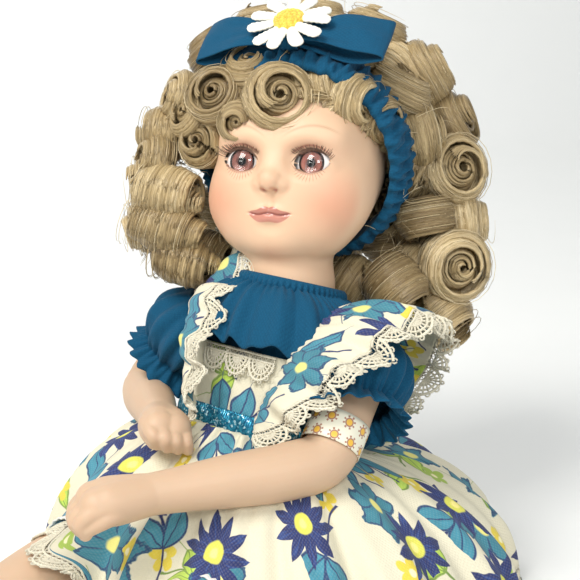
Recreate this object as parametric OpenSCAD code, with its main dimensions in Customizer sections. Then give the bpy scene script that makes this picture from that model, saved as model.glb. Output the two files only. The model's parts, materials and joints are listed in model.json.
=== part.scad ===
// Dressed, strung bisque doll, seated, in millimetres.
// +Z is up, the doll faces -Y, and its left side is +X. The seat plane is z = 0.

/* [Pose] */
// Backward lean of the seated torso, in degrees
lean = 20; // [16:1:22]
// Turn of the head towards the doll's left, in degrees
head_yaw = 16; // [0:1:20]
// Tilt of the head towards the doll's right, in degrees
head_roll = 8; // [4:1:10]

/* [Body] */
// Height of the hip axis above the seat
hip_height = 17; // [16.5:0.5:17.5]
// Distance from the hip axis to the shoulder axis, along the spine
shoulder_w = 57; // [56:0.5:58]
// Distance from the spine to a shoulder centre
shoulder_x = 30; // [30:0.5:31]
// Distance from the hip axis to the neck pivot, along the spine
neck_w = 66; // [65.5:0.5:67]
// Wall of the cast shells
wall = 2.4; // [2:0.1:3]

/* [Head] */
// Radius of the skull
skull_r = 24; // [23.5:0.1:24.5]
// Radius of the neck
neck_r = 11; // [10:0.5:11.5]
// Radius of the eyeballs
eye_r = 7; // [6.5:0.1:7.2]
// Distance from the face's middle to an eye centre
eye_x = 10; // [9.5:0.1:10.5]

/* [Wig] */
// Outer radius of a ringlet
curl_r = 7.6; // [6:0.1:7.8]
// Length of a ringlet that stands out of the cap
curl_length = 16; // [10:1:18]

/* [Dress] */
// Radius of the spread skirt at its hem
skirt_r = 65; // [60:1:68]
// Thickness of the cotton layers
cloth = 1.2; // [1:0.1:1.4]

/* [Hidden] */

fit_gap = 0.35;        // clearance between parts that move on each other
hull_fn = 24;          // facets of the hulled spheres
soft_fn = 20;          // facets of the hulled spheres of small parts

// Torso, in the leaning torso frame
hip_x = 20;            // hip ball centre, from the spine
hip_ball_r = 10.4;
tongue_half = 9.2;     // half width of the body between the thighs
tongue_r = 15;
waist_w = 31;
waist_half = 8.2;
shoulder_ball_r = 7.5;
neck_ball_r = 12.8;

// Head, in the head frame, whose origin is the neck pivot
skull_c = [0, 3, 42];
eye_z = 36;
eye_y = -12.2;
crown_tilt = 25;       // backward tilt of the crown opening
crown_open_r = 15;

// Hair and headband, in the band frame, whose origin is the skull's middle
band_tilt = 30;        // forward tilt of the headband's top
band_inner = skull_r + 3.3;
band_outer = band_inner + 2.8;
band_half = 4.5;
curl_root = skull_r + 3.6;
curl_hole = 2.4;

// Arms: elbow from the shoulder and hand from the elbow, in the row's directions
left_upper = [3, -25, -23];
left_fore = [-31, -45, -2];
right_upper = [-19, -6.5, -27];
right_fore = [39.5, -32, 8];
elbow_r = 7.4;
wrist_r = 5.6;

// Legs, for the left side, from the hip centre
knee_at = [4, -44, 1.5];
ankle_at = [7, -84, -6];
toe_at = [10, -95, 12];
thigh_r = 9.6;
knee_r = 8.2;
ankle_r = 5.4;

// Skirt
skirt_gap = cloth + 2.6;  // from the body to the skirt's inner edge
skirt_c = [4, 8, 0];
skirt_tilt = 8;
skirt_profile = [[12, 39.5], [24, 37], [38, 32.5], [52, 25], [61, 12], [skirt_r, 0]];

// Everything, with the footprint's middle at the origin
module placed() {
    translate([-4, 10, 0]) children();
}

module in_torso() {
    translate([0, 0, hip_height]) rotate([-lean, 0, 0]) children();
}

module in_head() {
    in_torso() translate([0, 0, neck_w]) rotate([0, -head_roll, head_yaw]) children();
}

module in_band() {
    in_head() translate(skull_c) rotate([band_tilt, 0, 0]) children();
}

function to_row(v, w) = [v * cos(lean) + w * sin(lean), -v * sin(lean) + w * cos(lean) + hip_height];
function shoulder(side) = [side * shoulder_x, to_row(0, shoulder_w)[0], to_row(0, shoulder_w)[1]];
function hip(side) = [side * hip_x, 0, hip_height];
function along(a, b, t) = a + (b - a) * t;
function mirrored(side, p) = [side * p[0], p[1], p[2]];

// A rounded bar from a to b
module bar(a, ra, b, rb, fn = soft_fn) {
    hull() {
        translate(a) sphere(r = ra, $fn = fn);
        translate(b) sphere(r = rb, $fn = fn);
    }
}

// A cylinder along X from x0 to x1
module x_rod(x0, x1, r, fn = 48) {
    translate([x0, 0, 0]) rotate([0, 90, 0]) cylinder(r = r, h = x1 - x0, $fn = fn);
}

stud_r = 1.25;
hook_r = 1.1;
arm_eyelet_x = 15;

// ---------------------------------------------------------------- torso

// The upper body, grown by a clothing layer
module chest_form(grow) {
    hull() {
        for (s = [-1, 1]) {
            translate([s * 7, 0, waist_w - 2]) sphere(r = 13 + grow, $fn = hull_fn);
            translate([s * 8, 0, 47]) sphere(r = 13.6 + grow, $fn = hull_fn);
            translate([s * 13.5, 0, 56]) sphere(r = 8 + grow, $fn = hull_fn);
        }
    }
}

// The lower body above the thighs, grown by a clothing layer
module belly_form(grow) {
    hull() {
        for (s = [-1, 1]) {
            translate([s * 7, 0, waist_w - 2]) sphere(r = 13 + grow, $fn = hull_fn);
            translate([s * 9, 0, 25]) sphere(r = 12.6 + grow, $fn = hull_fn);
        }
    }
}

module torso_shell() {
    color("bisque") in_torso() difference() {
        union() {
            chest_form(0);
            belly_form(0);
            x_rod(-tongue_half, tongue_half, tongue_r);
            translate([-tongue_half, -11, 0]) cube([2 * tongue_half, 22, 20]);
            translate([0, 0, 55]) cylinder(r = neck_ball_r + 2.6, h = neck_w - 55, $fn = 64);
        }
        chest_form(-wall);
        belly_form(-wall);
        x_rod(-tongue_half + wall, tongue_half - wall, tongue_r - wall);
        translate([-tongue_half + wall, -11 + wall, 0]) cube([2 * (tongue_half - wall), 22 - 2 * wall, 26]);
        translate([0, 0, neck_w]) sphere(r = neck_ball_r + fit_gap, $fn = 64);
        translate([0, 0, 40]) cylinder(r = 6, h = 20, $fn = 48);
        x_rod(-tongue_half - 1, tongue_half + 1, 2.4);
        translate([0, 0, shoulder_w]) x_rod(-arm_eyelet_x - 2, arm_eyelet_x + 2, 4);
        for (s = [-1, 1]) {
            translate([s * hip_x, 0, 0]) sphere(r = hip_ball_r + fit_gap, $fn = 64);
            translate([s * shoulder_x, 0, shoulder_w]) sphere(r = shoulder_ball_r + fit_gap + 0.8, $fn = 64);
        }
        translate([0, 0, shoulder_w]) x_rod(-shoulder_x, shoulder_x, 2.4);
    }
}

// An elastic eyelet around a stud on an X axis
module eyelet(x) {
    translate([x - 0.9, 0, 0]) rotate([0, 90, 0])
        rotate_extrude($fn = 48) translate([stud_r + 0.08, 0]) square([1.8, 1.8]);
}

module arm_elastic() {
    color("white") in_torso() translate([0, 0, shoulder_w]) {
        for (s = [-1, 1]) eyelet(s * arm_eyelet_x);
        for (v = [-1, 1]) translate([0, v * 3.1, 0]) x_rod(-arm_eyelet_x, arm_eyelet_x, 0.5, 24);
    }
}

module leg_elastic() {
    color("white") in_torso() {
        for (s = [-1, 1]) {
            eyelet(s * 4.2);
            translate([s * 4.2, 0, 2]) cylinder(r = 0.55, h = 42, $fn = 24);
        }
        translate([-4.6, -0.6, 42.6]) cube([9.2, 1.2, 1.2]);
    }
}

// A band with straight front and back and round sides, around the waist
module waist_band(r, from, to) {
    translate([0, 0, from]) linear_extrude(to - from) {
        square([2 * waist_half, 2 * r], center = true);
        for (s = [-1, 1]) translate([s * waist_half, 0]) circle(r = r, $fn = 96);
    }
}

module armholes(r) {
    translate([0, 0, shoulder_w]) for (s = [-1, 1]) x_rod(s > 0 ? 17 : -40, s > 0 ? 40 : -17, r);
}

module blouse() {
    color("steelblue") in_torso() difference() {
        union() {
            chest_form(cloth + 0.2);
            translate([0, 0, 57]) cylinder(r = neck_ball_r + 3.6, h = 8.2, $fn = 64);
        }
        chest_form(0.2);
        translate([0, 0, 50]) cylinder(r = neck_ball_r + 2.9, h = 30, $fn = 64);
        translate([-50, -50, -10]) cube([100, 100, 10 + waist_w]);
        armholes(10.5);
    }
}

module blouse_collar() {
    color("steelblue") in_torso() translate([0, 0, neck_w + 0.1])
        rotate_extrude($fn = 64) polygon([[13.9, 0], [16.2, 0], [15.6, 3], [15.2, 6.2], [13.9, 6.2]]);
}

module pinafore_bodice() {
    color("ivory") in_torso() difference() {
        waist_band(16.3, 24, 52);
        waist_band(15.6, 23, 53);
        armholes(13.5);
    }
}

module bib_lace() {
    color("ivory") in_torso() intersection() {
        difference() {
            waist_band(17.1, 47.4, 52);
            waist_band(16.4, 47, 53);
        }
        translate([-11, -40, 40]) cube([22, 40, 20]);
    }
}

// A strip that turns about the shoulder axis, from the back over the top to the front
module shoulder_wing(side, profile) {
    in_torso() translate([0, 0, shoulder_w]) mirror([side > 0 ? 0 : 1, 0, 0])
        rotate([0, 90, 0]) rotate([0, 0, 78])
            rotate_extrude(angle = 142, $fn = 64) polygon(profile);
}

wing = [[9.6, 19], [10.8, 19], [16.8, 27], [17.6, 34], [21, 43], [19.9, 43.6], [16.4, 34.4], [15.7, 27.6]];
wing_lace = [[21.1, 43.1], [23.4, 49], [22.5, 49.5], [20, 43.7]];

module ruffle(side) {
    color("ivory") shoulder_wing(side, wing);
}

module ruffle_lace(side) {
    color("ivory") shoulder_wing(side, wing_lace);
}

module waist_ribbon() {
    color("dodgerblue") in_torso() difference() {
        waist_band(17.4, 28, 33.6);
        waist_band(16.5, 27, 35);
    }
}

module back_snaps() {
    color("silver") in_torso() for (w = [38, 43, 48])
        translate([0, 16.5, w]) rotate([-90, 0, 0]) cylinder(r = 1.8, h = 1.4, $fn = 32);
}

// A skirt layer: the profile lowered by drop, and as thick as the cloth
module skirt_layer(drop, thick, hem_from, hem_to) {
    n = len(skirt_profile);
    outer = [for (p = skirt_profile) [p[0] - drop * 0.6, p[1] - drop]];
    inner = [for (i = [n - 1:-1:0]) [outer[i][0] - thick * 0.9, outer[i][1] - thick * 0.9]];
    difference() {
        translate(skirt_c) rotate([-skirt_tilt, 0, 0])
            intersection() {
                rotate_extrude($fn = 96) polygon(concat(outer, inner));
                difference() {
                    translate([0, 0, -30]) cylinder(r = hem_to, h = 90, $fn = 96);
                    translate([0, 0, -31]) cylinder(r = hem_from, h = 92, $fn = 96);
                }
            }
        in_torso() {
            chest_form(skirt_gap);
            belly_form(skirt_gap);
        }
        translate([-100, -100, -60]) cube([200, 200, 60.8]);
        translate([-38, -90, -5]) cube([76, 63, 35]);
    }
}

module skirt() {
    color("ivory") skirt_layer(0, cloth, 1, 62.4);
}

module skirt_lace() {
    color("ivory") skirt_layer(0, cloth, 62.5, 80);
}

module petticoat() {
    color("white") difference() {
        skirt_layer(1.9, 1, 1, 80);
        translate([-100, -100, -1]) cube([200, 200, 5]);
    }
}

module bloomers_seat() {
    color("white") difference() {
        intersection() {
            translate([0, 0, hip_height]) x_rod(-8.6, 8.6, 18.4);
            translate([-20, -30, 0]) cube([40, 60, hip_height - 6]);
        }
        translate([0, 0, hip_height]) x_rod(-12, 12, tongue_r + 0.15);
    }
}

// ---------------------------------------------------------------- head

module head_form(grow) {
    hull() {
        translate(skull_c) sphere(r = skull_r + grow, $fn = hull_fn + 8);
        translate([0, -1, 40]) sphere(r = 22 + grow, $fn = hull_fn);
        translate([0, -6.5, 25.5]) sphere(r = 14 + grow, $fn = hull_fn);
        for (s = [-1, 1]) translate([s * 8.5, -6.5, 30]) sphere(r = 13.4 + grow, $fn = hull_fn);
    }
}

module crown_cut(r) {
    translate(skull_c) rotate([-crown_tilt, 0, 0]) cylinder(r = r, h = 60, $fn = 64);
}

module head_shell() {
    color("bisque") in_head() difference() {
        union() {
            head_form(0);
            sphere(r = neck_ball_r, $fn = 64);
            cylinder(r = neck_r, h = 22, $fn = 64);
        }
        head_form(-wall);
        translate([0, 0, -4]) cylinder(r = neck_r - wall, h = 33, $fn = 64);
        cylinder(r = 3, h = 60, center = true, $fn = 48);
        translate([-20, -20, -20]) cube([40, 40, 14]);
        crown_cut(crown_open_r);
        for (s = [-1, 1]) translate([s * eye_x, eye_y, eye_z]) {
            rotate([90, 0, 0]) cylinder(r = 4.8, h = 20, $fn = 64);
            sphere(r = eye_r + 0.2, $fn = 64);
        }
    }
}

module crown_pate() {
    color("burlywood") in_head() intersection() {
        difference() {
            translate(skull_c) sphere(r = skull_r + 1.2, $fn = 64);
            translate(skull_c) sphere(r = skull_r + 0.1, $fn = 64);
        }
        crown_cut(crown_open_r + 1.6);
    }
}

module at_eye(side) {
    in_head() translate([side * eye_x, eye_y, eye_z]) rotate([90, 0, 0]) children();
}

iris_r = 3.6;
iris_at = sqrt(eye_r * eye_r - iris_r * iris_r);

module eye_white(side) {
    color("white") at_eye(side) difference() {
        sphere(r = eye_r, $fn = 64);
        translate([0, 0, iris_at - 0.8]) cylinder(r = iris_r, h = 6, $fn = 64);
    }
}

module iris(side) {
    color("indianred") at_eye(side) translate([0, 0, iris_at - 0.8]) cylinder(r = iris_r - 0.05, h = 0.8, $fn = 64);
}

module cornea(side) {
    color("white", 0.3) at_eye(side) intersection() {
        translate([0, 0, iris_at]) cylinder(r = iris_r - 0.05, h = 4, $fn = 64);
        translate([0, 0, 1.6]) sphere(r = 5.75, $fn = 64);
    }
}

// A cup of putty behind each eye
module eye_putty() {
    color("wheat") for (s = [-1, 1]) at_eye(s) difference() {
        translate([0, 0, -8.6]) cylinder(r = 6, h = 4.2, $fn = 48);
        sphere(r = eye_r + 0.1, $fn = 64);
    }
}

module lashes(side) {
    color("saddlebrown") at_eye(side) rotate([0, 0, 35]) translate([0, 0, 9.4])
        rotate_extrude(angle = 110, $fn = 48) polygon([[4.2, 0], [4.6, 0], [6.6, 2.6], [6.3, 2.8]]);
}

module wig_cap() {
    color("tan") in_head() difference() {
        head_form(2.7);
        head_form(1.5);
        translate([-40, -45, -10]) cube([80, 41, 64]);
        translate([-40, -50, -10]) cube([80, 100, 34]);
    }
}

// A ringlet that stands out of the cap: end on, it is a hollow roll of hair
module roll(r, length) {
    rotate_extrude($fn = 40) polygon([[curl_hole, 0], [r - 2, 0], [r, 2.5], [r, length - 3],
        [r - 2.5, length], [curl_hole, length - 1.5]]);
}

// Places children on the skull: turn about the band's axis from its top, and tilt off the band's plane
module on_skull(turn, tilt) {
    in_band() rotate([0, turn, 0]) rotate([-tilt, 0, 0])
        translate([0, 0, curl_root]) children();
}

module wig_fringe() {
    color("khaki") for (turn = [-84, -41, 2, 45]) on_skull(turn, -37) roll(curl_r, curl_length - 2);
}

module wig_back() {
    color("khaki") {
        for (turn = [-110, -66, -22, 22, 66, 110]) on_skull(turn, 29) roll(curl_r, curl_length);
        for (turn = [0, 90, 180, 270]) on_skull(turn + 45, 66) roll(curl_r, curl_length);
    }
}

// Hanging ringlets: [turn from the back, radius from the neck's axis, top, bottom]
hanging = [[0, 37, 27, 9], [28, 39, 28, 14], [-28, 39, 28, 14], [58, 39, 33, 21], [-58, 39, 33, 21]];

module wig_ringlets() {
    color("khaki") in_head() for (h = hanging)
        rotate([0, 0, h[0]]) translate([0, h[1], h[3]]) rotate_extrude($fn = 40)
            polygon([[curl_hole, 1], [curl_r - 2, 0], [curl_r, 2.5], [curl_r, h[2] - h[3] - 2.5],
                [curl_r - 2, h[2] - h[3]], [curl_hole, h[2] - h[3] - 1]]);
}

module headband() {
    color("steelblue") in_band() rotate([90, 0, 0]) rotate_extrude($fn = 96)
        polygon([[band_inner, -band_half], [band_outer - 1, -band_half], [band_outer, -band_half + 1.2],
            [band_outer, band_half - 1.2], [band_outer - 1, band_half], [band_inner, band_half]]);
}

bow_at = band_outer + 0.2;

module bow_loops() {
    color("steelblue") in_band() translate([0, 0, bow_at]) for (s = [-1, 1]) difference() {
        hull() {
            translate([s * 4.2, 0, 2.6]) rotate([90, 0, 0]) cylinder(r = 2.4, h = 6, center = true, $fn = 24);
            translate([s * 25, 0, 4.6]) rotate([90, 0, 0]) cylinder(r = 3.8, h = 13, center = true, $fn = 24);
        }
        hull() {
            translate([s * 8, 0, 3.2]) rotate([90, 0, 0]) cylinder(r = 1, h = 20, center = true, $fn = 24);
            translate([s * 25, 0, 4.6]) rotate([90, 0, 0]) cylinder(r = 2.7, h = 20, center = true, $fn = 24);
        }
    }
}

module bow_knot() {
    color("steelblue") in_band() translate([0, 0, bow_at]) translate([-1.7, -4, 0.2]) cube([3.4, 8, 5]);
}

daisy_petal_count = 11;

module in_daisy() {
    in_band() translate([0, -1, bow_at + 7.7]) rotate([22, 0, 0]) children();
}

module daisy_petals() {
    color("white") in_daisy() difference() {
        for (i = [0:daisy_petal_count - 1]) rotate([0, 0, i * 360 / daisy_petal_count]) hull() {
            translate([3, 0, 0]) cylinder(r = 1, h = 1.4, $fn = 20);
            translate([9, 0, 0]) cylinder(r = 2.1, h = 1.4, $fn = 20);
        }
        translate([0, 0, 0.7]) cylinder(r = 4.1, h = 2, $fn = 40);
    }
}

module daisy_centre() {
    color("gold") in_daisy() translate([0, 0, 0.75]) cylinder(r1 = 4, r2 = 2.8, h = 1.9, $fn = 40);
}

module neck_button() {
    color("peru") in_head() translate([0, 0, -4]) difference() {
        cylinder(r = 8.3, h = 4, $fn = 64);
        cylinder(r = hook_r + 0.08, h = 20, center = true, $fn = 40);
    }
}

module neck_hook() {
    color("silver") in_head() {
        translate([0, 0, 0.1]) cylinder(r = 3, h = 1.2, $fn = 40);
        translate([0, 0, -19.4]) cylinder(r = hook_r, h = 19.6, $fn = 40);
        translate([0, 0, -20.6]) cylinder(r = 2.6, h = 1.2, $fn = 40);
    }
}

// The elastic's top loop, around the hook's foot
module neck_loop() {
    color("white") in_head() translate([0, 0, -19.3])
        rotate_extrude($fn = 48) translate([hook_r + 0.1, 0]) square([1.6, 1.6]);
}

// ---------------------------------------------------------------- arms

// A curled hand: the palm, four fingers and the thumb. reach runs along the forearm, across runs over the knuckles.
module hand(wrist, palm, reach, across, down) {
    bar(wrist, wrist_r - 0.4, palm, 6.1);
    for (i = [-1.5:1:1.5])
        bar(palm + across * i * 3.1 + reach * 3, 2.4, palm + across * i * 2.9 + reach * 8.4 + down * 3.5, 1.9, 14);
    bar(palm - across * 5, 2.3, palm - across * 5.2 + reach * 7 + down * 4.4, 1.8, 14);
}

module arm(s, upper, fore, across, down) {
    elbow = s + upper;
    palm = elbow + fore;
    wrist = along(elbow, palm, 0.78);
    reach = fore / norm(fore);
    color("bisque") {
        bar(s, shoulder_ball_r, elbow, elbow_r);
        bar(elbow, elbow_r, wrist, wrist_r);
        hand(wrist, palm, reach, across, down);
    }
}

module left_arm() {
    difference() {
        arm(shoulder(1), left_upper, left_fore, [-0.89, 0.45, 0], [0, 0, -1]);
        translate(shoulder(1)) x_rod(-20, -2, stud_r + 0.03, 24);
    }
}

module right_arm() {
    difference() {
        arm(shoulder(-1), right_upper, right_fore, [0.66, 0.7, -0.27], [0.2, 0.2, -0.96]);
        translate(shoulder(-1)) x_rod(2, 20, stud_r + 0.03, 24);
    }
}

// A stud on the shoulder axis that the elastic's eyelet turns on
module limb_stud(s, from, to, r = stud_r) {
    color("silver") {
        x_rod(min(s * from, s * to), max(s * from, s * to), r);
        x_rod(min(s * (from - 0.9), s * from), max(s * (from - 0.9), s * from), 2.3);
    }
}

module arm_stud(side) {
    in_torso() translate([0, 0, shoulder_w]) limb_stud(side, arm_eyelet_x - 1.9, shoulder_x - 3);
}

// A puffed sleeve around the shoulder ball and the top of the upper arm
module sleeve(side, upper) {
    s = shoulder(side);
    color("steelblue") difference() {
        intersection() {
            bar(s, 12.8, along(s, s + upper, 0.42), 11.4, 24);
            translate([side > 0 ? 26.2 : -90, -60, 0]) cube([63.8, 140, 140]);
        }
        bar(s, shoulder_ball_r + 0.2, s + upper, elbow_r + 0.2, 24);
        bar(along(s, s + upper, 0.55), 9.6, s + upper, 11, 24);
    }
}

module arm_band() {
    s = shoulder(1);
    p = along(s, s + left_upper, 0.72);
    axis = left_upper / norm(left_upper);
    color("white") translate(p) rotate([0, acos(axis[2]), atan2(axis[1], axis[0])])
        rotate_extrude($fn = 64) translate([7.75, -3]) square([0.4, 6]);
}

// ---------------------------------------------------------------- legs

module thigh(side, grow) {
    h = hip(side);
    bar(h + mirrored(side, knee_at) * 0.1, thigh_r + grow, h + mirrored(side, knee_at), knee_r + grow, 24);
}

module shin(side, grow) {
    h = hip(side);
    bar(h + mirrored(side, knee_at), knee_r + grow, h + mirrored(side, ankle_at), ankle_r + grow, 24);
}

module foot(side, grow) {
    h = hip(side);
    hull() {
        translate(h + mirrored(side, ankle_at) + [0, -1.5, -1.4]) sphere(r = ankle_r + grow, $fn = 24);
        translate(h + mirrored(side, toe_at)) sphere(r = 4.6 + grow, $fn = 24);
    }
}

// The left leg is drawn, and the right one is its mirror image
module left_leg() {
    color("bisque") difference() {
        union() {
            translate(hip(1)) sphere(r = hip_ball_r, $fn = 64);
            thigh(1, 0);
            shin(1, 0);
            foot(1, 0);
        }
        thigh(1, -wall);
        shin(1, -wall);
        translate(hip(1)) x_rod(-20, -2, stud_r, 24);
        translate([-50, -60, -20]) cube([50 + tongue_half + 0.4, 160, 80]);
    }
}

module leg(side) {
    if (side > 0) left_leg(); else mirror([1, 0, 0]) left_leg();
}

module leg_stud(side) {
    in_torso() limb_stud(side, 2.2, hip_x - 3);
}

module bloomer_leg(side) {
    h = hip(side);
    color("white") difference() {
        bar(h + mirrored(side, knee_at) * 0.35, 10.4, h + mirrored(side, knee_at) * 0.92, 10, 24);
        thigh(side, 0.12);
        shin(side, 0.12);
        translate(hip(side)) sphere(r = hip_ball_r + 0.2, $fn = 64);
        translate([side > 0 ? -50 : -tongue_half - 0.4, -60, -20]) cube([50 + tongue_half + 0.4, 160, 80]);
    }
}

module sock(side) {
    h = hip(side);
    color("white") difference() {
        union() {
            intersection() {
                shin(side, 0.9);
                translate([-60, h[1] + ankle_at[1] - 20, -10]) cube([120, 36, 60]);
            }
            foot(side, 0.9);
        }
        shin(side, 0.1);
        foot(side, 0.1);
    }
}

module shoe(side) {
    h = hip(side);
    color("white") difference() {
        foot(side, 2.3);
        foot(side, 1);
        shin(side, 1);
        translate([-60, h[1] + ankle_at[1] + 0.5, -20]) cube([120, 60, 80]);
        translate(h + mirrored(side, ankle_at) + [-20, -7, 4]) cube([40, 30, 8]);
        translate([-60, -200, -60]) cube([120, 260, 60]);
    }
}

module shoe_strap(side) {
    h = hip(side);
    color("white") intersection() {
        difference() {
            foot(side, 2.3);
            foot(side, 1);
            shin(side, 1);
        }
        translate(h + mirrored(side, ankle_at) + [-20, -6.9, 6.2]) cube([40, 20, 3]);
    }
}

placed() torso_shell();
placed() arm_elastic();
placed() leg_elastic();
placed() blouse();
placed() blouse_collar();
placed() pinafore_bodice();
placed() bib_lace();
placed() ruffle(1);  // left_ruffle
placed() ruffle(-1);  // right_ruffle
placed() ruffle_lace(1);  // left_ruffle_lace
placed() ruffle_lace(-1);  // right_ruffle_lace
placed() waist_ribbon();
placed() back_snaps();
placed() skirt();
placed() skirt_lace();
placed() petticoat();
placed() bloomers_seat();
placed() head_shell();
placed() crown_pate();
placed() eye_white(1);  // left_eye_white
placed() eye_white(-1);  // right_eye_white
placed() iris(1);  // left_iris
placed() iris(-1);  // right_iris
placed() cornea(1);  // left_cornea
placed() cornea(-1);  // right_cornea
placed() eye_putty();
placed() lashes(1);  // left_lashes
placed() lashes(-1);  // right_lashes
placed() wig_cap();
placed() wig_fringe();
placed() wig_back();
placed() wig_ringlets();
placed() headband();
placed() bow_loops();
placed() bow_knot();
placed() daisy_petals();
placed() daisy_centre();
placed() neck_button();
placed() neck_hook();
placed() neck_loop();
placed() left_arm();
placed() arm_stud(1);  // left_arm_stud
placed() sleeve(1, left_upper);  // left_sleeve
placed() arm_band();
placed() right_arm();
placed() arm_stud(-1);  // right_arm_stud
placed() sleeve(-1, right_upper);  // right_sleeve
placed() leg(1);  // left_leg
placed() leg_stud(1);  // left_leg_stud
placed() bloomer_leg(1);  // left_bloomer_leg
placed() sock(1);  // left_sock
placed() shoe(1);  // left_shoe
placed() shoe_strap(1);  // left_shoe_strap
placed() leg(-1);  // right_leg
placed() leg_stud(-1);  // right_leg_stud
placed() bloomer_leg(-1);  // right_bloomer_leg
placed() sock(-1);  // right_sock
placed() shoe(-1);  // right_shoe
placed() shoe_strap(-1);  // right_shoe_strap
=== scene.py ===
"""Looks of the seated porcelain doll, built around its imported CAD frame.
Lengths are in millimetres until piece() turns them into metres."""
import json
import math

import bmesh
import bpy
import numpy as np
from mathutils import Matrix, Vector


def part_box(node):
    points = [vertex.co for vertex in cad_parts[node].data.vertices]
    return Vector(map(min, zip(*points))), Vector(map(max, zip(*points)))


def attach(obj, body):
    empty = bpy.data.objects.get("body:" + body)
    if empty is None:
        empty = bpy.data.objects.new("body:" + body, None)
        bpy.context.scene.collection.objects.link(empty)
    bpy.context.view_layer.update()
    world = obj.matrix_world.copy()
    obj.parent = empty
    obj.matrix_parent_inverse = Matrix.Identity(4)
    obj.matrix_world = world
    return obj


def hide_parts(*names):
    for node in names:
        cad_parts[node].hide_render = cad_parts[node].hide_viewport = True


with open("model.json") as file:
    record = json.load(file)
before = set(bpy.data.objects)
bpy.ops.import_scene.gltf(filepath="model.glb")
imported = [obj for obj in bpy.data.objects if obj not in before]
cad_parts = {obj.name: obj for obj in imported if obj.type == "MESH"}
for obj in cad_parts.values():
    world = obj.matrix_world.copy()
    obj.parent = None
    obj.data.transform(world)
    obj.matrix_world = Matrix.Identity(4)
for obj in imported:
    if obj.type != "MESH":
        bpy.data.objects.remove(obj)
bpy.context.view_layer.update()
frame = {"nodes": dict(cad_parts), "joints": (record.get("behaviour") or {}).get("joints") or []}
MM = 0.001
TAU = 2 * math.pi
BOTH = (("left", 1), ("right", -1))

# ------------------------------------------------------------------ places


def unit(v):
    v = np.asarray(v, float)
    return v / np.linalg.norm(v, axis=-1, keepdims=True)


def distance_along(path):
    """How far each point of a path is from its start, measured along it."""
    return np.concatenate([[0], np.cumsum(np.linalg.norm(np.diff(path, axis=0), axis=1))])


def around_steps(count):
    """Angles all the way round, as the columns of a grid."""
    return np.linspace(0, TAU, count, endpoint=False)[:, None]


def column_steps(count, low=0, high=1):
    """Even steps from low to high, as the columns of a grid."""
    return np.linspace(low, high, count)[:, None]


def row_steps(count, low=0, high=1):
    """Even steps from low to high, as the rows of a grid."""
    return np.linspace(low, high, count)[None, :]


def laid_out(start, *runs):
    """Points from start, as far along each axis as its grid of lengths says."""
    return start + sum(axis * length[..., None] for axis, length in runs)


def scaled(colour, amount):
    """A colour made darker or lighter, up to full brightness."""
    return tuple(min(1, c * amount) for c in colour)


def joint_at(name):
    return np.array(next(j["pos_m"] for j in frame["joints"] if j["name"] == name)) / MM


def joint_axis(name):
    return unit(next(j["axis"] for j in frame["joints"] if j["name"] == name))


def middle(node):
    low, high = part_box(node)
    return (np.array(low) + np.array(high)) / 2 / MM


class Place:
    """A frame of the doll's own. out() takes its points to the scene, into() takes them back,
    and turn() takes its directions to the scene."""

    def __init__(self, origin, x, z):
        self.origin = np.asarray(origin, float)
        x = unit(x - np.dot(x, z) * z)
        self.axes = np.stack([x, np.cross(z, x), z])

    def out(self, points):
        return np.asarray(points, float) @ self.axes + self.origin

    def into(self, points):
        return (np.asarray(points, float) - self.origin) @ self.axes.T

    def turn(self, vectors):
        return np.asarray(vectors, float) @ self.axes


RIGHT = np.array([1.0, 0, 0])
neck_at = joint_at("head_nod")
hips_at = (joint_at("left_hip") + joint_at("right_hip")) / 2
TORSO = Place(hips_at, RIGHT, unit(neck_at - hips_at))
HEAD = Place(neck_at, middle("left_iris") - middle("right_iris"), joint_axis("head_turn"))
NECK_W = TORSO.into(neck_at)[2]
SHOULDER_W = TORSO.into(joint_at("left_shoulder"))[2]
SKULL = np.array([0, 3, 42.0])
SKULL_R = 24.0
EYE = np.array([10, -12.2, 36.0])
EYE_R = 7.0
band_tilt = math.radians(30)
BAND = Place(HEAD.out(SKULL), HEAD.axes[0],
             HEAD.turn([0, -math.sin(band_tilt), math.cos(band_tilt)]))
BAND_R = SKULL_R + 3.3

# ------------------------------------------------------------------ meshes

# wrap flags for a sheet whose columns close round on themselves, and centimetres in a metre
RING = (True, False)
CM_IN_M = 100


def piece(name, points, faces, body, material, corner_uv=None, fields=None, node=()):
    """A mesh from points in millimetres, riding on a body.
    corner_uv holds a value for each face corner, and fields one for each point."""
    mesh = bpy.data.meshes.new(name)
    mesh.from_pydata((np.asarray(points, float).reshape(-1, 3) * MM).tolist(), [], np.asarray(faces).tolist())
    if corner_uv is not None:
        layer = mesh.uv_layers.new(name="cloth")
        layer.data.foreach_set("uv", np.asarray(corner_uv, float).ravel())
    for key, values in (fields or {}).items():
        values = np.asarray(values, float)
        kind = "FLOAT" if values.ndim == 1 else "FLOAT_VECTOR"
        layer = mesh.attributes.new(key, kind, "POINT")
        layer.data.foreach_set("value" if values.ndim == 1 else "vector", values.ravel())
    mesh.polygons.foreach_set("use_smooth", [True] * len(mesh.polygons))
    mesh.materials.append(material)
    obj = bpy.data.objects.new(name, mesh)
    bpy.context.scene.collection.objects.link(obj)
    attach(obj, body)
    if node:
        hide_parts(*node)
    return obj


def grid_faces(nu, nv, wrap_u=False, wrap_v=False):
    """Quads of an nu by nv grid of points, and each corner's column and row without wrapping."""
    across = np.arange(nu if wrap_u else nu - 1)
    along = np.arange(nv if wrap_v else nv - 1)
    i, j = np.meshgrid(across, along, indexing="ij")
    steps = [(0, 0), (1, 0), (1, 1), (0, 1)]
    quads = np.stack([((i + a) % nu) * nv + (j + b) % nv for a, b in steps], -1).reshape(-1, 4)
    corners = np.stack([np.stack([i + a, j + b], -1) for a, b in steps], 2).reshape(-1, 4, 2)
    return quads, corners


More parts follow.
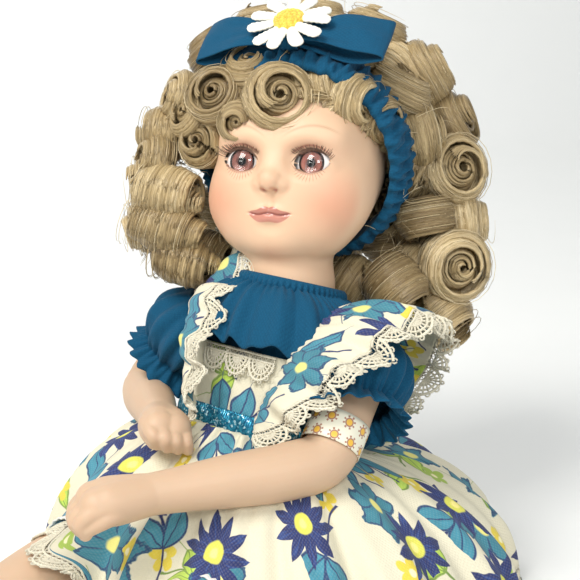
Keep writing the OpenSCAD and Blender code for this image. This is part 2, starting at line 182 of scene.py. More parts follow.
def surface(name, points, body, material, wrap=(False, False), cut=None, flip=False, node=(), thick=0.0,
            fields=None):
    """A grid of points as a smooth sheet. cut is its flat size in millimetres, over which its texture
    is laid out in centimetres. wrap says whether its columns and its rows close on themselves."""
    nu, nv = points.shape[:2]
    quads, corners = grid_faces(nu, nv, *wrap)
    corner_uv = None
    if cut is not None:
        counts = np.array([nu if wrap[0] else nu - 1, nv if wrap[1] else nv - 1])
        corner_uv = corners / counts * (np.array(cut) * MM * CM_IN_M)
    if flip:
        quads = quads[:, ::-1]
        corner_uv = corner_uv[:, ::-1] if corner_uv is not None else None
    obj = piece(name, points, quads, body, material, corner_uv, fields, node)
    if thick:
        shell = obj.modifiers.new("thickness", "SOLIDIFY")
        shell.thickness = thick * MM
        shell.offset = 0
    return obj


def join(parts):
    """Lists of (points, faces, uv) as one."""
    points, faces, uvs, start = [], [], [], 0
    for p, f, uv in parts:
        p = np.asarray(p).reshape(-1, 3)
        points.append(p)
        faces.append(np.asarray(f) + start)
        uvs.append(uv)
        start += len(p)
    return np.concatenate(points), np.concatenate(faces), np.concatenate(uvs)


def frames_along(path, closed=False):
    """Tangent and two normals at each point of a path."""
    ahead = np.roll(path, -1, 0)
    behind = np.roll(path, 1, 0)
    if not closed:
        ahead[-1], behind[0] = path[-1], path[0]
    tangent = unit(ahead - behind)
    helper = np.where(np.abs(tangent[:, 2:]) < 0.9, [[0, 0, 1.0]], [[1.0, 0, 0]])
    side = unit(np.cross(tangent, helper))
    return tangent, side, np.cross(side, tangent)


def tube(path, radius, sides=6, closed=False):
    """A round thread along a path, as (points, faces, uv)."""
    path = np.asarray(path, float)
    _, side, up = frames_along(path, closed)
    turn = np.arange(sides) / sides * TAU
    ring = side[:, None] * np.cos(turn)[None, :, None] + up[:, None] * np.sin(turn)[None, :, None]
    radius = np.broadcast_to(np.asarray(radius, float).reshape(-1, 1, 1), (len(path), 1, 1))
    points = path[:, None] + ring * radius
    faces, corners = grid_faces(len(path), sides, closed, True)
    return points.reshape(-1, 3), faces, corners * np.array([0.1, 0.3])


def smooth_path(knots, count):
    """A curve through the knots (Catmull-Rom), with points evenly spaced along it."""
    knots = np.asarray(knots, float)
    ends = np.vstack([2 * knots[0] - knots[1], knots, 2 * knots[-1] - knots[-2]])
    t = np.linspace(0, len(knots) - 1 - 1e-9, count * 4)
    k = t.astype(int)
    f = (t - k)[:, None]
    a, b, c, d = ends[k], ends[k + 1], ends[k + 2], ends[k + 3]
    curve = 0.5 * (2 * b + (c - a) * f + (2 * a - 5 * b + 4 * c - d) * f**2 + (3 * b - a - 3 * c + d) * f**3)
    length = distance_along(curve)
    even = np.linspace(0, length[-1], count)
    return np.stack([np.interp(even, length, curve[:, m]) for m in range(curve.shape[1])], 1)


# ------------------------------------------------------------------ materials


class Val:
    """A value in a material's node tree, so that sums of nodes read like sums."""

    def __init__(self, mat, out):
        self.mat = mat
        self.out = out

    def op(self, kind, *others):
        return self.mat.math(kind, self, *others)

    def __add__(self, other):
        return self.op("ADD", other)

    def __sub__(self, other):
        return self.op("SUBTRACT", other)

    def __abs__(self):
        return self.op("ABSOLUTE")

    def __mul__(self, other):
        return self.op("MULTIPLY", other)

    def __truediv__(self, other):
        return self.op("DIVIDE", other)

    def __rsub__(self, other):
        return self.mat.math("SUBTRACT", other, self)

    __radd__ = __add__
    __rmul__ = __mul__

    def above(self, edge, soft=0.05):
        """1 where the value is over edge, 0 under it, with a soft step."""
        return self.mat.step(self, edge - soft, edge + soft)

    def below(self, edge, soft=0.05):
        """1 where the value is under edge, 0 over it, with a soft step."""
        return self.mat.step(self, edge + soft, edge - soft)


class Mat:
    """A node material with one principled shader."""

    def __init__(self, name, roughness=0.6, **settings):
        self.data = bpy.data.materials.new(name)
        self.data.use_nodes = True
        self.tree = self.data.node_tree
        self.shader = self.tree.nodes["Principled BSDF"]
        self.shader.inputs["Roughness"].default_value = roughness
        for key, value in settings.items():
            self.shader.inputs[key.replace("_", " ")].default_value = value

    def node(self, kind, inputs=None, **settings):
        node = self.tree.nodes.new("ShaderNode" + kind)
        for key, value in settings.items():
            setattr(node, key, value)
        for key, value in (inputs or {}).items():
            self.plug(node.inputs[key], value)
        return node

    def plug(self, socket, value):
        if isinstance(value, Val):
            self.tree.links.new(value.out, socket)
        elif isinstance(value, tuple) and len(value) == 3 and socket.type == "RGBA":
            socket.default_value = (*value, 1)
        else:
            socket.default_value = value

    def math(self, kind, *values):
        node = self.node("Math", dict(enumerate(values)), operation=kind)
        return Val(self, node.outputs[0])

    def step(self, value, low, high):
        node = self.node("MapRange", {"Value": value, "From Min": low, "From Max": high},
                         interpolation_type="SMOOTHSTEP")
        return Val(self, node.outputs["Result"])

    def mix(self, amount, first, second):
        node = self.node("Mix", {0: amount, 6: first, 7: second}, data_type="RGBA")
        return Val(self, node.outputs[2])

    def uv(self):
        return Val(self, self.node("UVMap", uv_map="cloth").outputs[0])

    def field(self, name):
        return Val(self, self.node("Attribute", attribute_name=name).outputs["Vector"])

    def spot(self):
        """Where the point is at rest, in metres."""
        return Val(self, self.node("TexCoord").outputs["Object"])

    def parts(self, vector):
        node = self.node("SeparateXYZ", {0: vector})
        return [Val(self, out) for out in node.outputs]

    def vector(self, x, y, z=0.0):
        return Val(self, self.node("CombineXYZ", {0: x, 1: y, 2: z}).outputs[0])

    def noise(self, vector, scale, detail=3.0, roughness=0.5, distortion=0.0):
        node = self.node("TexNoise", {"Vector": vector, "Scale": scale, "Detail": detail,
                                      "Roughness": roughness, "Distortion": distortion})
        return Val(self, node.outputs["Fac"])

    def bump(self, height, distance, strength=1.0):
        node = self.node("Bump", {"Height": height, "Distance": distance * MM, "Strength": strength})
        self.tree.links.new(node.outputs[0], self.shader.inputs["Normal"])

    def set(self, **inputs):
        for key, value in inputs.items():
            self.plug(self.shader.inputs[key.replace("_", " ")], value)
        return self.data


# ------------------------------------------------------------------ head and face


def sphere(p, centre, radius):
    return np.linalg.norm(p - np.asarray(centre, float), axis=-1) - radius


def ellipsoid(p, centre, radii):
    q = p - np.asarray(centre, float)
    radii = np.asarray(radii, float)
    near = np.linalg.norm(q / radii, axis=-1)
    return near * (near - 1) / np.maximum(np.linalg.norm(q / radii**2, axis=-1), 1e-6)


def capsule(p, a, b, ra, rb):
    a, b = np.asarray(a, float), np.asarray(b, float)
    along = b - a
    t = np.clip(((p - a) @ along) / (along @ along), 0, 1)
    return np.linalg.norm(p - a - t[..., None] * along, axis=-1) - (ra + (rb - ra) * t)


def join_soft(a, b, k):
    """The union of two shapes with a rounded seam k wide."""
    h = np.clip(0.5 + 0.5 * (b - a) / k, 0, 1)
    return b + (a - b) * h - k * h * (1 - h)


def cut_soft(a, b, k):
    """a without b, with a rounded edge k wide."""
    return -join_soft(-a, b, k)


MOUTH_Z = 21.7
MOUTH_HALF = 6.0
NOSE_Z = 30.2
LID_R = EYE_R + 0.75
EYE_W, EYE_UP, EYE_DOWN = 5.3, 3.5, 3.0
EYE_SLANT = 0.35
LID_POWER = 1.35


def mirrored(p):
    """Both halves of the face folded onto its left."""
    return np.stack([np.abs(p[..., 0]), p[..., 1], p[..., 2]], -1)


def head_shape(p):
    """Signed distance to the bisque head, in the head's frame."""
    m = mirrored(p)
    d = sphere(p, SKULL, SKULL_R)
    d = join_soft(d, ellipsoid(p, [0, -2, 32], [22.0, 18.5, 17]), 6)
    d = join_soft(d, sphere(m, [10.6, -7.8, 26.2], 11.6), 6)
    d = join_soft(d, ellipsoid(m, [6.5, -7.5, 18.5], [9.5, 10.0, 7.5]), 5)
    d = join_soft(d, ellipsoid(p, [0, -10.6, 22.5], [11.5, 9.8, 8.5]), 5)
    d = join_soft(d, ellipsoid(p, [0, -13.0, 15.6], [6.8, 5.6, 4.8]), 4.5)
    d = join_soft(d, capsule(p, [0, 0, 22], [0, -0.5, 6], 11.2, 11.0), 4)
    d = join_soft(d, capsule(p, [0, 0, 3], [0, 0, -2], 12.2, 12.8), 5)
    # brow and eye sockets, then the lids over the eyeballs
    d = join_soft(d, ellipsoid(m, [7.5, -15.0, 43.5], [9, 4.2, 4.2]), 8)
    d = cut_soft(d, ellipsoid(m, EYE + [-0.3, -9.5, 0.4], [6.0, 3.6, 4.0]), 3.2)
    d = join_soft(d, sphere(m, EYE, LID_R), 1.2)
    # nose
    d = join_soft(d, capsule(p, [0, -18.2, 36.5], [0, -21.8, NOSE_Z + 0.6], 1.9, 2.5), 4.2)
    d = join_soft(d, sphere(p, [0, -22.7, NOSE_Z + 0.1], 2.35), 1.6)
    d = join_soft(d, ellipsoid(m, [3.1, -20.4, NOSE_Z - 0.7], [1.75, 2.1, 1.6]), 1.4)
    d = cut_soft(d, ellipsoid(m, [1.6, -22.3, NOSE_Z - 2.4], [0.75, 1.0, 0.6]), 0.5)
    # lips, with a groove above them and a dip under them
    d = cut_soft(d, capsule(p, [0, -21.9, NOSE_Z - 3.2], [0, -21.6, MOUTH_Z + 2.5], 0.7, 0.9), 1.6)
    d = join_soft(d, ellipsoid(m, [1.5, -19.4, MOUTH_Z + 1.0], [2.7, 2.0, 1.15]), 1.3)
    d = join_soft(d, ellipsoid(m, [3.7, -18.6, MOUTH_Z + 0.5], [1.9, 1.6, 0.8]), 1.3)
    d = join_soft(d, ellipsoid(p, [0, -19.2, MOUTH_Z - 1.2], [3.5, 2.15, 1.5]), 1.5)
    d = cut_soft(d, ellipsoid(p, [0, -21.8, MOUTH_Z - 4.1], [3.2, 1.2, 1.0]), 2.2)
    groove = np.abs(p[..., 2] - mouth_line(p[..., 0])) / 0.3 + np.clip(np.abs(p[..., 0]) - 5.6, 0, 9)
    return d + 0.42 * np.exp(-groove**2) * (p[..., 1] < -14)


def mouth_line(x):
    """How high the line between the lips is."""
    return MOUTH_Z + 0.22 * np.cos(np.clip(np.abs(x), 0, MOUTH_HALF) * 1.05) - 0.1


def find_surface(shape, start, rays):
    """Where each ray from start leaves the shape."""
    near, far = np.full(len(rays), 2.0), np.full(len(rays), 60.0)
    for _ in range(22):
        half = (near + far) / 2
        inside = shape(start + rays * half[:, None]) < 0
        near, far = np.where(inside, half, near), np.where(inside, far, half)
    return start + rays * near[:, None]


def eye_level(m):
    """Under 1 inside the eye's almond opening, 1 on its edge; m is folded onto the left."""
    x = (m[..., 0] - EYE[0]) / np.where(m[..., 0] < EYE[0], EYE_W - 0.7, EYE_W)
    room = np.sqrt(np.clip(1 - x**2, 1e-4, 1))
    z = m[..., 2] - EYE[2] - EYE_SLANT * x
    return np.maximum(np.abs(x), np.abs(z) / (np.where(z > 0, EYE_UP, EYE_DOWN) * room**LID_POWER))


def bisque_head(material):
    """The head's skin, found along rays from a point inside it. The eyes are cut open, and each opening
    has a rim turned in to its eyeball."""
    columns, rows = 360, 270
    u = np.linspace(-1, 1, columns, endpoint=False)
    around = math.pi * (0.42 * u + 0.58 * u**3)
    lift = np.radians(np.linspace(-84, 89.5, rows))
    a, b = np.meshgrid(around, lift, indexing="ij")
    rays = np.stack([np.sin(a) * np.cos(b), -np.cos(a) * np.cos(b), np.sin(b)], -1).reshape(-1, 3)
    start = np.array([0, -1.0, 30])

    def shape(p):
        return np.maximum(head_shape(p), -3 - p[..., 2])

    points = find_surface(shape, start, rays)
    faces, _ = grid_faces(columns, rows, True)
    front = points[:, 1] < -10
    level = eye_level(mirrored(points))
    hole = front & (level < 1)
    faces = faces[~hole[faces].all(1)]
    used = np.zeros(len(points), bool)
    used[faces.ravel()] = True
    for index in np.flatnonzero(hole & used):
        side = np.sign(points[index, 0])
        centre = EYE * [side, 1, 1]
        p = points[index]
        scale = max(0.2, float(level[index]))
        target = centre + (p - centre) * [1 / scale, 1, 1 / scale]
        points[index] = find_surface(shape, start, unit(target - start)[None])[0]
    keep = np.cumsum(used) - 1
    points, faces = points[used], keep[faces]
    edges = np.sort(np.concatenate([faces[:, [k, (k + 1) % 4]] for k in range(4)]), 1)
    pairs, uses = np.unique(edges, axis=0, return_counts=True)
    rim = pairs[uses == 1]
    rim = rim[(eye_level(mirrored(points[rim[:, 0]])) < 1.2) & (points[rim[:, 0], 1] < -8)]
    inner = {}
    extra = []
    for v in np.unique(rim):
        side = np.sign(points[v, 0])
        centre = EYE * [side, 1, 1]
        inner[v] = len(points) + len(extra)
        away = unit(points[v] - centre)
        extra.append(centre + away * (EYE_R - 0.3) + [0, 0.2, 0])
    walls = [[p, q, inner[q], inner[p]] for p, q in rim]
    points = np.vstack([points, extra])
    faces = np.vstack([faces, walls])
    obj = piece("head_casting", HEAD.out(points), faces, "head", material,
                fields={"face": points}, node=["head_shell"])
    shell = bmesh.new()
    shell.from_mesh(obj.data)
    bmesh.ops.recalc_face_normals(shell, faces=shell.faces)
    shell.to_mesh(obj.data)
    shell.free()


def bisque_colour(mat, base=(0.725, 0.485, 0.315)):
    """Matte china with faint mottling."""
    spot = mat.spot()
    mottle = mat.noise(spot, 90, 4)
    colour = mat.mix(mottle, scaled(base, 0.93), scaled(base, 1.05))
    mat.bump(mat.noise(spot, 2600, 2), 0.012, 0.25)
    return colour


def gauss(mat, x, z, sx, sz):
    """A soft spot: 1 where x and z are 0, falling off over sx and sz."""
    return mat.math("EXPONENT", (x * x / (sx * sx) + z * z / (sz * sz)) * -1.0)


def ridge(mat, x, width):
    """A soft line: 1 where x is 0, falling off over its width."""
    return mat.math("EXPONENT", x * x * (-1.0 / (width * width)))


def face_material():
    """The face's bisque and its painting, from the field face: millimetres in the head's frame."""
    mat = Mat("face_bisque", 0.5, Subsurface_Weight=0.12, Subsurface_Scale=0.004)
    mat.shader.inputs["Subsurface Radius"].default_value = (1, 0.45, 0.3)
    colour = bisque_colour(mat)
    x, y, z = mat.parts(mat.field("face"))
    side = abs(x)
    front = y.below(-12, 2)
    grain = mat.noise(mat.vector(x * 3.1, z * 3.1), 1.0, 2)
    # blush on the cheeks, chin, nose and lids
    blush = gauss(mat, side - 17.0, z - 25.0, 8.5, 8.0) * 0.62 + gauss(mat, x, z - 11.5, 4, 3) * 0.25
    blush = (blush + gauss(mat, x, z - NOSE_Z, 2.4, 2.2) * 0.18) * front
    colour = mat.mix(blush * 0.85, colour, (0.62, 0.22, 0.13))
    lid = gauss(mat, side - EYE[0], z - (EYE[2] + 3.6), 6.5, 2.4) * front
    colour = mat.mix(lid * 0.4, colour, (0.56, 0.24, 0.16))
    # lid crease
    ex, ez = side - EYE[0], z - EYE[2]
    arc = ez - 4.5 + ex * ex * 0.085
    crease = ridge(mat, arc, 0.28) * abs(ex).below(5.2, 0.8) * front
    colour = mat.mix(crease * 0.7, colour, (0.36, 0.11, 0.07))
    # lash line round the opening
    room = mat.math("SQRT", mat.math("MAXIMUM", 1 - (ex / EYE_W) * (ex / EYE_W), 0.02))
    slanted = ez - ex * (EYE_SLANT / EYE_W)
    up = slanted / (mat.math("POWER", room, LID_POWER) * EYE_UP)
    down = slanted / (mat.math("POWER", room, LID_POWER) * -EYE_DOWN)
    near = abs(ex).below(EYE_W + 0.1, 0.3) * front
    liner = up.below(1.12, 0.08) * up.above(0.7, 0.05) * near
    colour = mat.mix(liner * 0.85, colour, (0.07, 0.025, 0.015))
    lower = down.below(1.16, 0.08) * down.above(0.8, 0.05) * near
    colour = mat.mix(lower * 0.5, colour, (0.30, 0.10, 0.07))
    # painted lower lashes
    turn = mat.math("ARCTAN2", ex, ez * -1.0)
    comb = abs(mat.math("SINE", turn * 17.0))
    length = down.below(1.78, 0.22) * down.above(1.05, 0.05)
    below_eye = ez.below(-0.6, 0.4) * abs(ex).below(4.2, 0.4) * front
    lashes = comb.above(0.93, 0.05) * length * below_eye
    colour = mat.mix(lashes * 0.55, colour, (0.24, 0.09, 0.06))
    # brows, painted as short strokes
    rise = ez - 9.6 + (ex - 1.2) * (ex - 1.2) * 0.045
    stroke = mat.math("SINE", (ex - rise * 0.9) * 11.0) * 0.25 + 0.75
    taper = abs(ex + 0.2).below(6.2, 2.2)
    brow = ridge(mat, rise, 0.42) * taper * stroke * front
    colour = mat.mix(brow * 0.5, colour, (0.34, 0.17, 0.09))
    # lips
    line = mat.math("COSINE", mat.math("MINIMUM", side, MOUTH_HALF) * 1.05) * 0.22 + (MOUTH_Z - 0.1)
    wide = mat.math("MAXIMUM", 1 - (side / 6.1) * (side / 6.1), 0.0)
    bow = ridge(mat, side - 1.7, 1.3) * 0.45 - ridge(mat, side, 0.7) * 0.15
    top = line + mat.math("POWER", wide, 0.8) * 1.55 + bow * wide
    bottom = line - mat.math("POWER", wide, 0.6) * 2.35
    lips = (top - z).above(0.0, 0.16) * (z - bottom).above(0.0, 0.2) * front * side.below(6.0, 0.25)
    tone = mat.mix((z - line).above(0, 0.15), (0.52, 0.19, 0.145), (0.42, 0.135, 0.105))
    colour = mat.mix(lips * 0.88, colour, mat.mix(grain * 0.3, tone, (0.60, 0.28, 0.22)))
    slit = ridge(mat, z - line, 0.2) * side.below(5.4, 0.5) * front
    colour = mat.mix(slit * 0.8, colour, (0.20, 0.04, 0.035))
    nostril = gauss(mat, side - 1.7, z - (NOSE_Z - 2.2), 0.8, 0.4) * y.below(-19, 0.6)
    colour = mat.mix(nostril * 0.75, colour, (0.42, 0.12, 0.09))
    rough = 0.52 - lips * 0.3
    return mat.set(Base_Color=colour, Roughness=rough)


def iris_material(word, side):
    """Rose glass with rays, a dark rim and a pupil."""
    mat = Mat(f"{word}_iris_glass", 0.5, Specular_IOR_Level=0.1, Coat_Weight=0.8, Coat_Roughness=0.04)
    dx, dy = iris_plane(mat, side)
    far = mat.math("SQRT", dx * dx + dy * dy)
    turn = mat.math("ARCTAN2", dy, dx)
    rays = mat.noise(mat.vector(turn * 5.5, far * 0.9), 1.6, 4, 0.7)
    tone = mat.mix(rays, (0.62, 0.16, 0.12), (1.0, 0.47, 0.36))
    tone = mat.mix(far.above(2.85, 0.18), tone, (0.012, 0.004, 0.004))
    tone = mat.mix(far.below(1.6, 0.4) * 0.55, tone, (0.30, 0.09, 0.06))
    tone = mat.mix(far.below(1.15, 0.1), tone, (0.002, 0.002, 0.002))
    return mat.set(Base_Color=tone)


def iris_plane(mat, side):
    """Millimetres across and up from an eye's middle."""
    centre = HEAD.out(EYE * [side, 1, 1])
    offset = [part * (1 / MM) - float(at) for part, at in zip(mat.parts(mat.spot()), centre)]

    def along(axis):
        x, y, z = (part * float(share) for part, share in zip(offset, axis))
        return x + y + z

    return along(HEAD.axes[0]), along(HEAD.axes[2])


def eye_white_material():
    mat = Mat("eye_white_glass", 0.12, Coat_Weight=0.6, Coat_Roughness=0.05)
    veins = mat.noise(mat.spot(), 700, 5, 0.7)
    return mat.set(Base_Color=mat.mix(veins, (0.80, 0.70, 0.66), (0.93, 0.90, 0.87)))


def cornea_material():
    """A clear glass dome."""
    mat = Mat("cornea_glass", 0.02, Transmission_Weight=1.0, IOR=1.4, Coat_Weight=0.6, Coat_Roughness=0.02)
    smear = mat.noise(mat.spot(), 500, 1)
    mat.bump(smear, 0.002, 0.1)
    return mat.set(Base_Color=mat.mix(smear, (0.96, 0.95, 0.95), (0.99, 0.99, 0.99)))


def assign(node, data):
    """Gives a node carried over from the CAD its material."""
    obj = frame["nodes"][node]
    for k in range(len(obj.material_slots)):
        obj.material_slots[k].material = data
    if not obj.material_slots:
        obj.data.materials.append(data)


bisque_head(face_material())
for word, side in BOTH:
    assign(f"{word}_eye_white", eye_white_material())
    assign(f"{word}_iris", iris_material(word, side))
    assign(f"{word}_cornea", cornea_material())

# ------------------------------------------------------------------ cloth materials

BLUE = (0.001, 0.062, 0.132)
CREAM = (0.74, 0.69, 0.52)
NAVY = (0.012, 0.022, 0.115)
YELLOW = (0.76, 0.60, 0.06)
LIME = (0.36, 0.50, 0.08)
PRINT_SCALE = 0.68
THREADS_A_CM = 9.0
LACE = (0.84, 0.78, 0.61)


def weave(mat):
    """A plain weave's height and its slubs, from the cloth's own coordinates in centimetres."""
    x, y, _ = mat.parts(mat.uv())
    slub = mat.noise(mat.vector(x * 2.0, y * 26.0), 1.0, 2) + mat.noise(mat.vector(x * 26.0, y * 2.0), 1.0, 2)
    warp = mat.math("SINE", x * (TAU * THREADS_A_CM))
    weft = mat.math("SINE", y * (TAU * THREADS_A_CM))
    return abs(warp * 0.5 + weft * 0.5), slub


def cotton_blue():
    mat = Mat("blue_cotton_weave", 0.85, Sheen_Weight=0.04, Sheen_Roughness=0.5, Specular_IOR_Level=0.25)
    over, slub = weave(mat)
    tone = mat.mix(slub * 0.5, scaled(BLUE, 0.72), scaled(BLUE, 1.3))
    # painted highlight: the weave's raised points are lighter
    tone = mat.mix(over * 0.3, tone, (0.004, 0.105, 0.200))
    crumple = mat.noise(mat.uv(), 1.1, 4, 0.6)
    mat.bump(over * 0.25 + slub * 0.25 + crumple * 2.5, 0.35, 0.7)
    return mat.set(Base_Color=tone)


def cell(mat, u, v, size, seed, randomness=0.55):
    """The nearest scattered motif's middle: offsets from it in cm, and its random colour."""
    place = mat.vector(u / size + seed * 7.3, v / size + seed * 3.7)
    node = mat.node("TexVoronoi", {"Vector": place, "Scale": 1.0, "Randomness": randomness},
                    voronoi_dimensions="2D")
    px, py, _ = mat.parts(place)
    cx, cy, _ = mat.parts(Val(mat, node.outputs["Position"]))
    r, g, b = mat.parts(Val(mat, node.outputs["Color"]))
    return (px - cx) * size, (py - cy) * size, r, g, b


def polar(mat, dx, dy, spin):
    """How far from a motif's middle, and the angle there, turned by the motif's own spin."""
    far = mat.math("SQRT", dx * dx + dy * dy)
    return far, mat.math("ARCTAN2", dy, dx) + spin * TAU


def petal_wave(mat, turn, count):
    """0 along the middle of each petal and 1 between petals."""
    return mat.math("PINGPONG", turn * (count / TAU), 0.5) * 2.0


def daisy(mat, colour, u, v, size, seed, chosen):
    """Navy daisies with pointed petals and a yellow eye."""
    dx, dy, r, g, _ = cell(mat, u, v, size, seed)
    far, turn = polar(mat, dx, dy, g)
    wave = petal_wave(mat, turn, 10)
    wobble = mat.noise(mat.vector(turn * 2.2, r * 40.0), 1.0, 1) * 0.22
    reach = (0.86 - wobble) * (1.0 - wave * 0.46)
    keep = r.below(chosen, 0.001)
    petals = (reach - far).above(0.0, 0.018) * keep
    vein = mat.noise(mat.vector(turn * 9.0, far * 2.0), 1.2, 2)
    ink = mat.mix(vein.above(0.56, 0.1) * 0.75, NAVY, (0.03, 0.075, 0.27))
    colour = mat.mix(petals, colour, ink)
    colour = mat.mix(far.below(0.21, 0.02) * keep, colour, (0.70, 0.68, 0.10))
    return mat.mix(far.below(0.09, 0.03) * keep, colour, (0.92, 0.80, 0.25))


def blossom(mat, colour, u, v, size, seed, low, high):
    """Teal blossoms with round petals, inked edges and a pale middle."""
    dx, dy, r, g, b = cell(mat, u, v, size, seed)
    far, turn = polar(mat, dx, dy, g)
    wave = petal_wave(mat, turn, 7)
    ragged = mat.noise(mat.vector(dx * 4.5 + r * 9.0, dy * 4.5), 1.0, 2) * 0.38
    reach = (0.78 + b * 0.12 - ragged) * (1.06 - wave * 0.36)
    keep = r.above(low, 0.001) * r.below(high, 0.001)
    fill = (reach - far).above(0.0, 0.018) * keep
    streak = mat.noise(mat.vector(turn * 5.0, far * 1.5), 1.4, 3)
    tone = mat.mix(streak, (0.020, 0.150, 0.215), (0.060, 0.270, 0.340))
    colour = mat.mix(fill, colour, tone)
    between = wave.above(0.86, 0.05) * far.above(0.2, 0.03)
    edge = abs(far - reach * 0.93).below(0.035, 0.012) + between
    edge = mat.math("MINIMUM", edge, 1.0) * fill * streak.above(0.38, 0.06)
    colour = mat.mix(edge * 0.75, colour, NAVY)
    return mat.mix(far.below(0.15, 0.03) * keep, colour, (0.80, 0.74, 0.22))


def sprig(mat, colour, u, v, size, seed, length, width, tone, ink, chosen):
    """Pairs of pointed leaves on a curved stem."""
    dx, dy, r, g, b = cell(mat, u, v, size, seed)
    spin = g * TAU
    cosine, sine = mat.math("COSINE", spin), mat.math("SINE", spin)
    along = dx * cosine + dy * sine
    across = dy * cosine - dx * sine + along * along * 0.35
    keep = r.below(chosen, 0.001)
    stem = abs(across).below(0.028, 0.014) * abs(along).below(length * 1.25, 0.03)
    colour = mat.mix(stem * keep, colour, ink)
    fold = abs(across)
    lx = (along - 0.05) * 0.80 + fold * 0.60
    ly = fold * 0.80 - (along - 0.05) * 0.60
    inside = 1 - (lx - length * 0.52) * (lx - length * 0.52) / (length * length * 0.27)
    half = mat.math("MAXIMUM", inside, 0.0) * width
    depth = half - abs(ly)
    leaf = depth.above(0.0, 0.016) * keep
    hue = mat.noise(mat.vector(lx * 2.5, ly * 9.0 + b * 20.0), 1.3, 2)
    colour = mat.mix(leaf, colour, mat.mix(hue, tone, tuple(min(1, c * 1.9 + 0.03) for c in tone)))
    rim = depth.below(0.045, 0.014) * leaf + abs(ly).below(0.014, 0.01) * leaf
    return mat.mix(mat.math("MINIMUM", rim, 1.0) * 0.9, colour, ink)


def speck(mat, colour, u, v, size, seed, chosen):
    """Small yellow flowers with a lime middle."""
    dx, dy, r, g, b = cell(mat, u, v, size, seed, 0.8)
    far, turn = polar(mat, dx, dy, g)
    wave = petal_wave(mat, turn, 5)
    reach = 0.30 * (1.0 - wave * wave * 0.45)
    keep = r.below(chosen, 0.001)
    tone = mat.mix(b.above(0.5, 0.02), YELLOW, LIME)
    colour = mat.mix((reach - far).above(0.0, 0.016) * keep, colour, tone)
    return mat.mix(far.below(0.07, 0.02) * keep, colour, (0.90, 0.84, 0.50))


def cotton_print():
    """Cream cotton printed with navy daisies, teal blossoms, leaves and small yellow flowers."""
    mat = Mat("printed_cotton_weave", 0.85, Sheen_Weight=0.05, Sheen_Roughness=0.5)
    over, slub = weave(mat)
    u, v, _ = mat.parts(mat.uv())
    bend = mat.noise(mat.vector(u, v), 1.6, 2)
    u, v = (u + bend * 0.22) * PRINT_SCALE, (v - bend * 0.22) * PRINT_SCALE
    ground = mat.mix(slub * 0.5, scaled(CREAM, 0.93), scaled(CREAM, 1.04))
    colour = sprig(mat, ground, u, v, 1.75, 1.0, 0.75, 0.22, (0.30, 0.42, 0.05), (0.16, 0.26, 0.05), 0.45)
    colour = speck(mat, colour, u, v, 1.25, 2.0, 0.5)
    colour = sprig(mat, colour, u, v, 1.9, 3.0, 0.95, 0.26, (0.025, 0.165, 0.225), NAVY, 0.7)
    colour = blossom(mat, colour, u, v, 2.15, 4.0, 0.0, 0.62)
    colour = daisy(mat, colour, u, v, 2.25, 5.0, 0.66)
    colour = mat.mix(over * 0.08, colour, (0.70, 0.66, 0.55))
    crumple = mat.noise(mat.vector(u, v), 0.9, 4, 0.6)
    mat.bump(over * 0.2 + slub * 0.2 + crumple * 2.5, 0.35, 0.7)
    return mat.set(Base_Color=colour)


def cotton_white():
    mat = Mat("white_cotton_weave", 0.85, Sheen_Weight=0.15)
    over, slub = weave(mat)
    crumple = mat.noise(mat.uv(), 1.0, 4, 0.6)
    mat.bump(over * 0.2 + slub * 0.2 + crumple * 2.0, 0.3, 0.6)
    return mat.set(Base_Color=mat.mix(slub * 0.5, (0.72, 0.70, 0.64), (0.86, 0.84, 0.79)))


def lace_thread():
    mat = Mat("lace_thread", 0.85, Sheen_Weight=0.2)
    x, y, _ = mat.parts(mat.uv())
    twist = mat.math("SINE", x * 90.0 + y * 22.0)
    mat.bump(twist, 0.08, 0.8)
    tone = mat.noise(mat.spot(), 260, 3)
    return mat.set(Base_Color=mat.mix(tone, scaled(LACE, 0.86), scaled(LACE, 1.12)))


def ribbon_metallic():
    """Blue ribbon woven with metal thread; its sparkle is painted into the colour as bright flecks."""
    mat = Mat("metallic_ribbon_weave", 0.28, Metallic=0.55)
    x, _, _ = mat.parts(mat.uv())
    cells = mat.node("TexVoronoi", {"Vector": mat.uv(), "Scale": 16.0})
    g, _, _ = mat.parts(Val(mat, cells.outputs["Color"]))
    rib = mat.math("SINE", x * (TAU * 14.0))
    tone = mat.mix(g, (0.005, 0.10, 0.20), (0.05, 0.42, 0.62))
    # painted glints: the brightest cells are lifted to a pale cyan as if they caught the light
    tone = mat.mix(g.above(0.86, 0.03), tone, (0.55, 0.85, 0.95))
    mat.bump(rib * 0.3 + g, 0.18, 0.9)
    return mat.set(Base_Color=tone)


# ------------------------------------------------------------------ lace

SCALLOP = 9.5
TABLE = 0.2
LACE_HALF = 0.25


def lace_unit():
    """One scallop of crocheted edging: threads as lists of (s, t, lift) points with a radius each.
    s runs along the edge and t outward."""

    def on_ring(a, reach, lift):
        s = SCALLOP / 2 - np.cos(a) * reach * 0.92
        return np.stack([s, 1.6 + np.sin(a) * reach * 1.02, lift + 0 * a], 1)

    threads = []
    s = np.linspace(0, SCALLOP, 9)
    for t in (0.2, 1.7):
        threads.append((np.stack([s, 0 * s + t, 0 * s], 1), 0.36))
    zig = np.linspace(0, SCALLOP, 13)
    threads.append((np.stack([zig, 0.95 + 0.75 * (-1.0) ** np.arange(13), 0.15 + 0 * zig], 1), 0.27))
    for reach, thick in ((2.1, 0.32), (3.7, 0.34), (5.1, 0.42)):
        a = np.linspace(0.04, math.pi - 0.04, 13)
        threads.append((on_ring(a, reach, 0.1), thick))
    for a in np.linspace(0.25, math.pi - 0.25, 9):
        r = np.linspace(0.3, 5.1, 4)
        threads.append((on_ring(np.full(4, a), r, 0.2), 0.27))
    for a in np.linspace(0.35, math.pi - 0.35, 6):
        b = np.linspace(0, TAU, 8)
        picot = 0.62 * np.stack([np.cos(b), np.sin(b), 0 * b], 1)
        threads.append((on_ring(np.full(8, a), 5.5, 0.1) + picot, 0.24))
    return threads


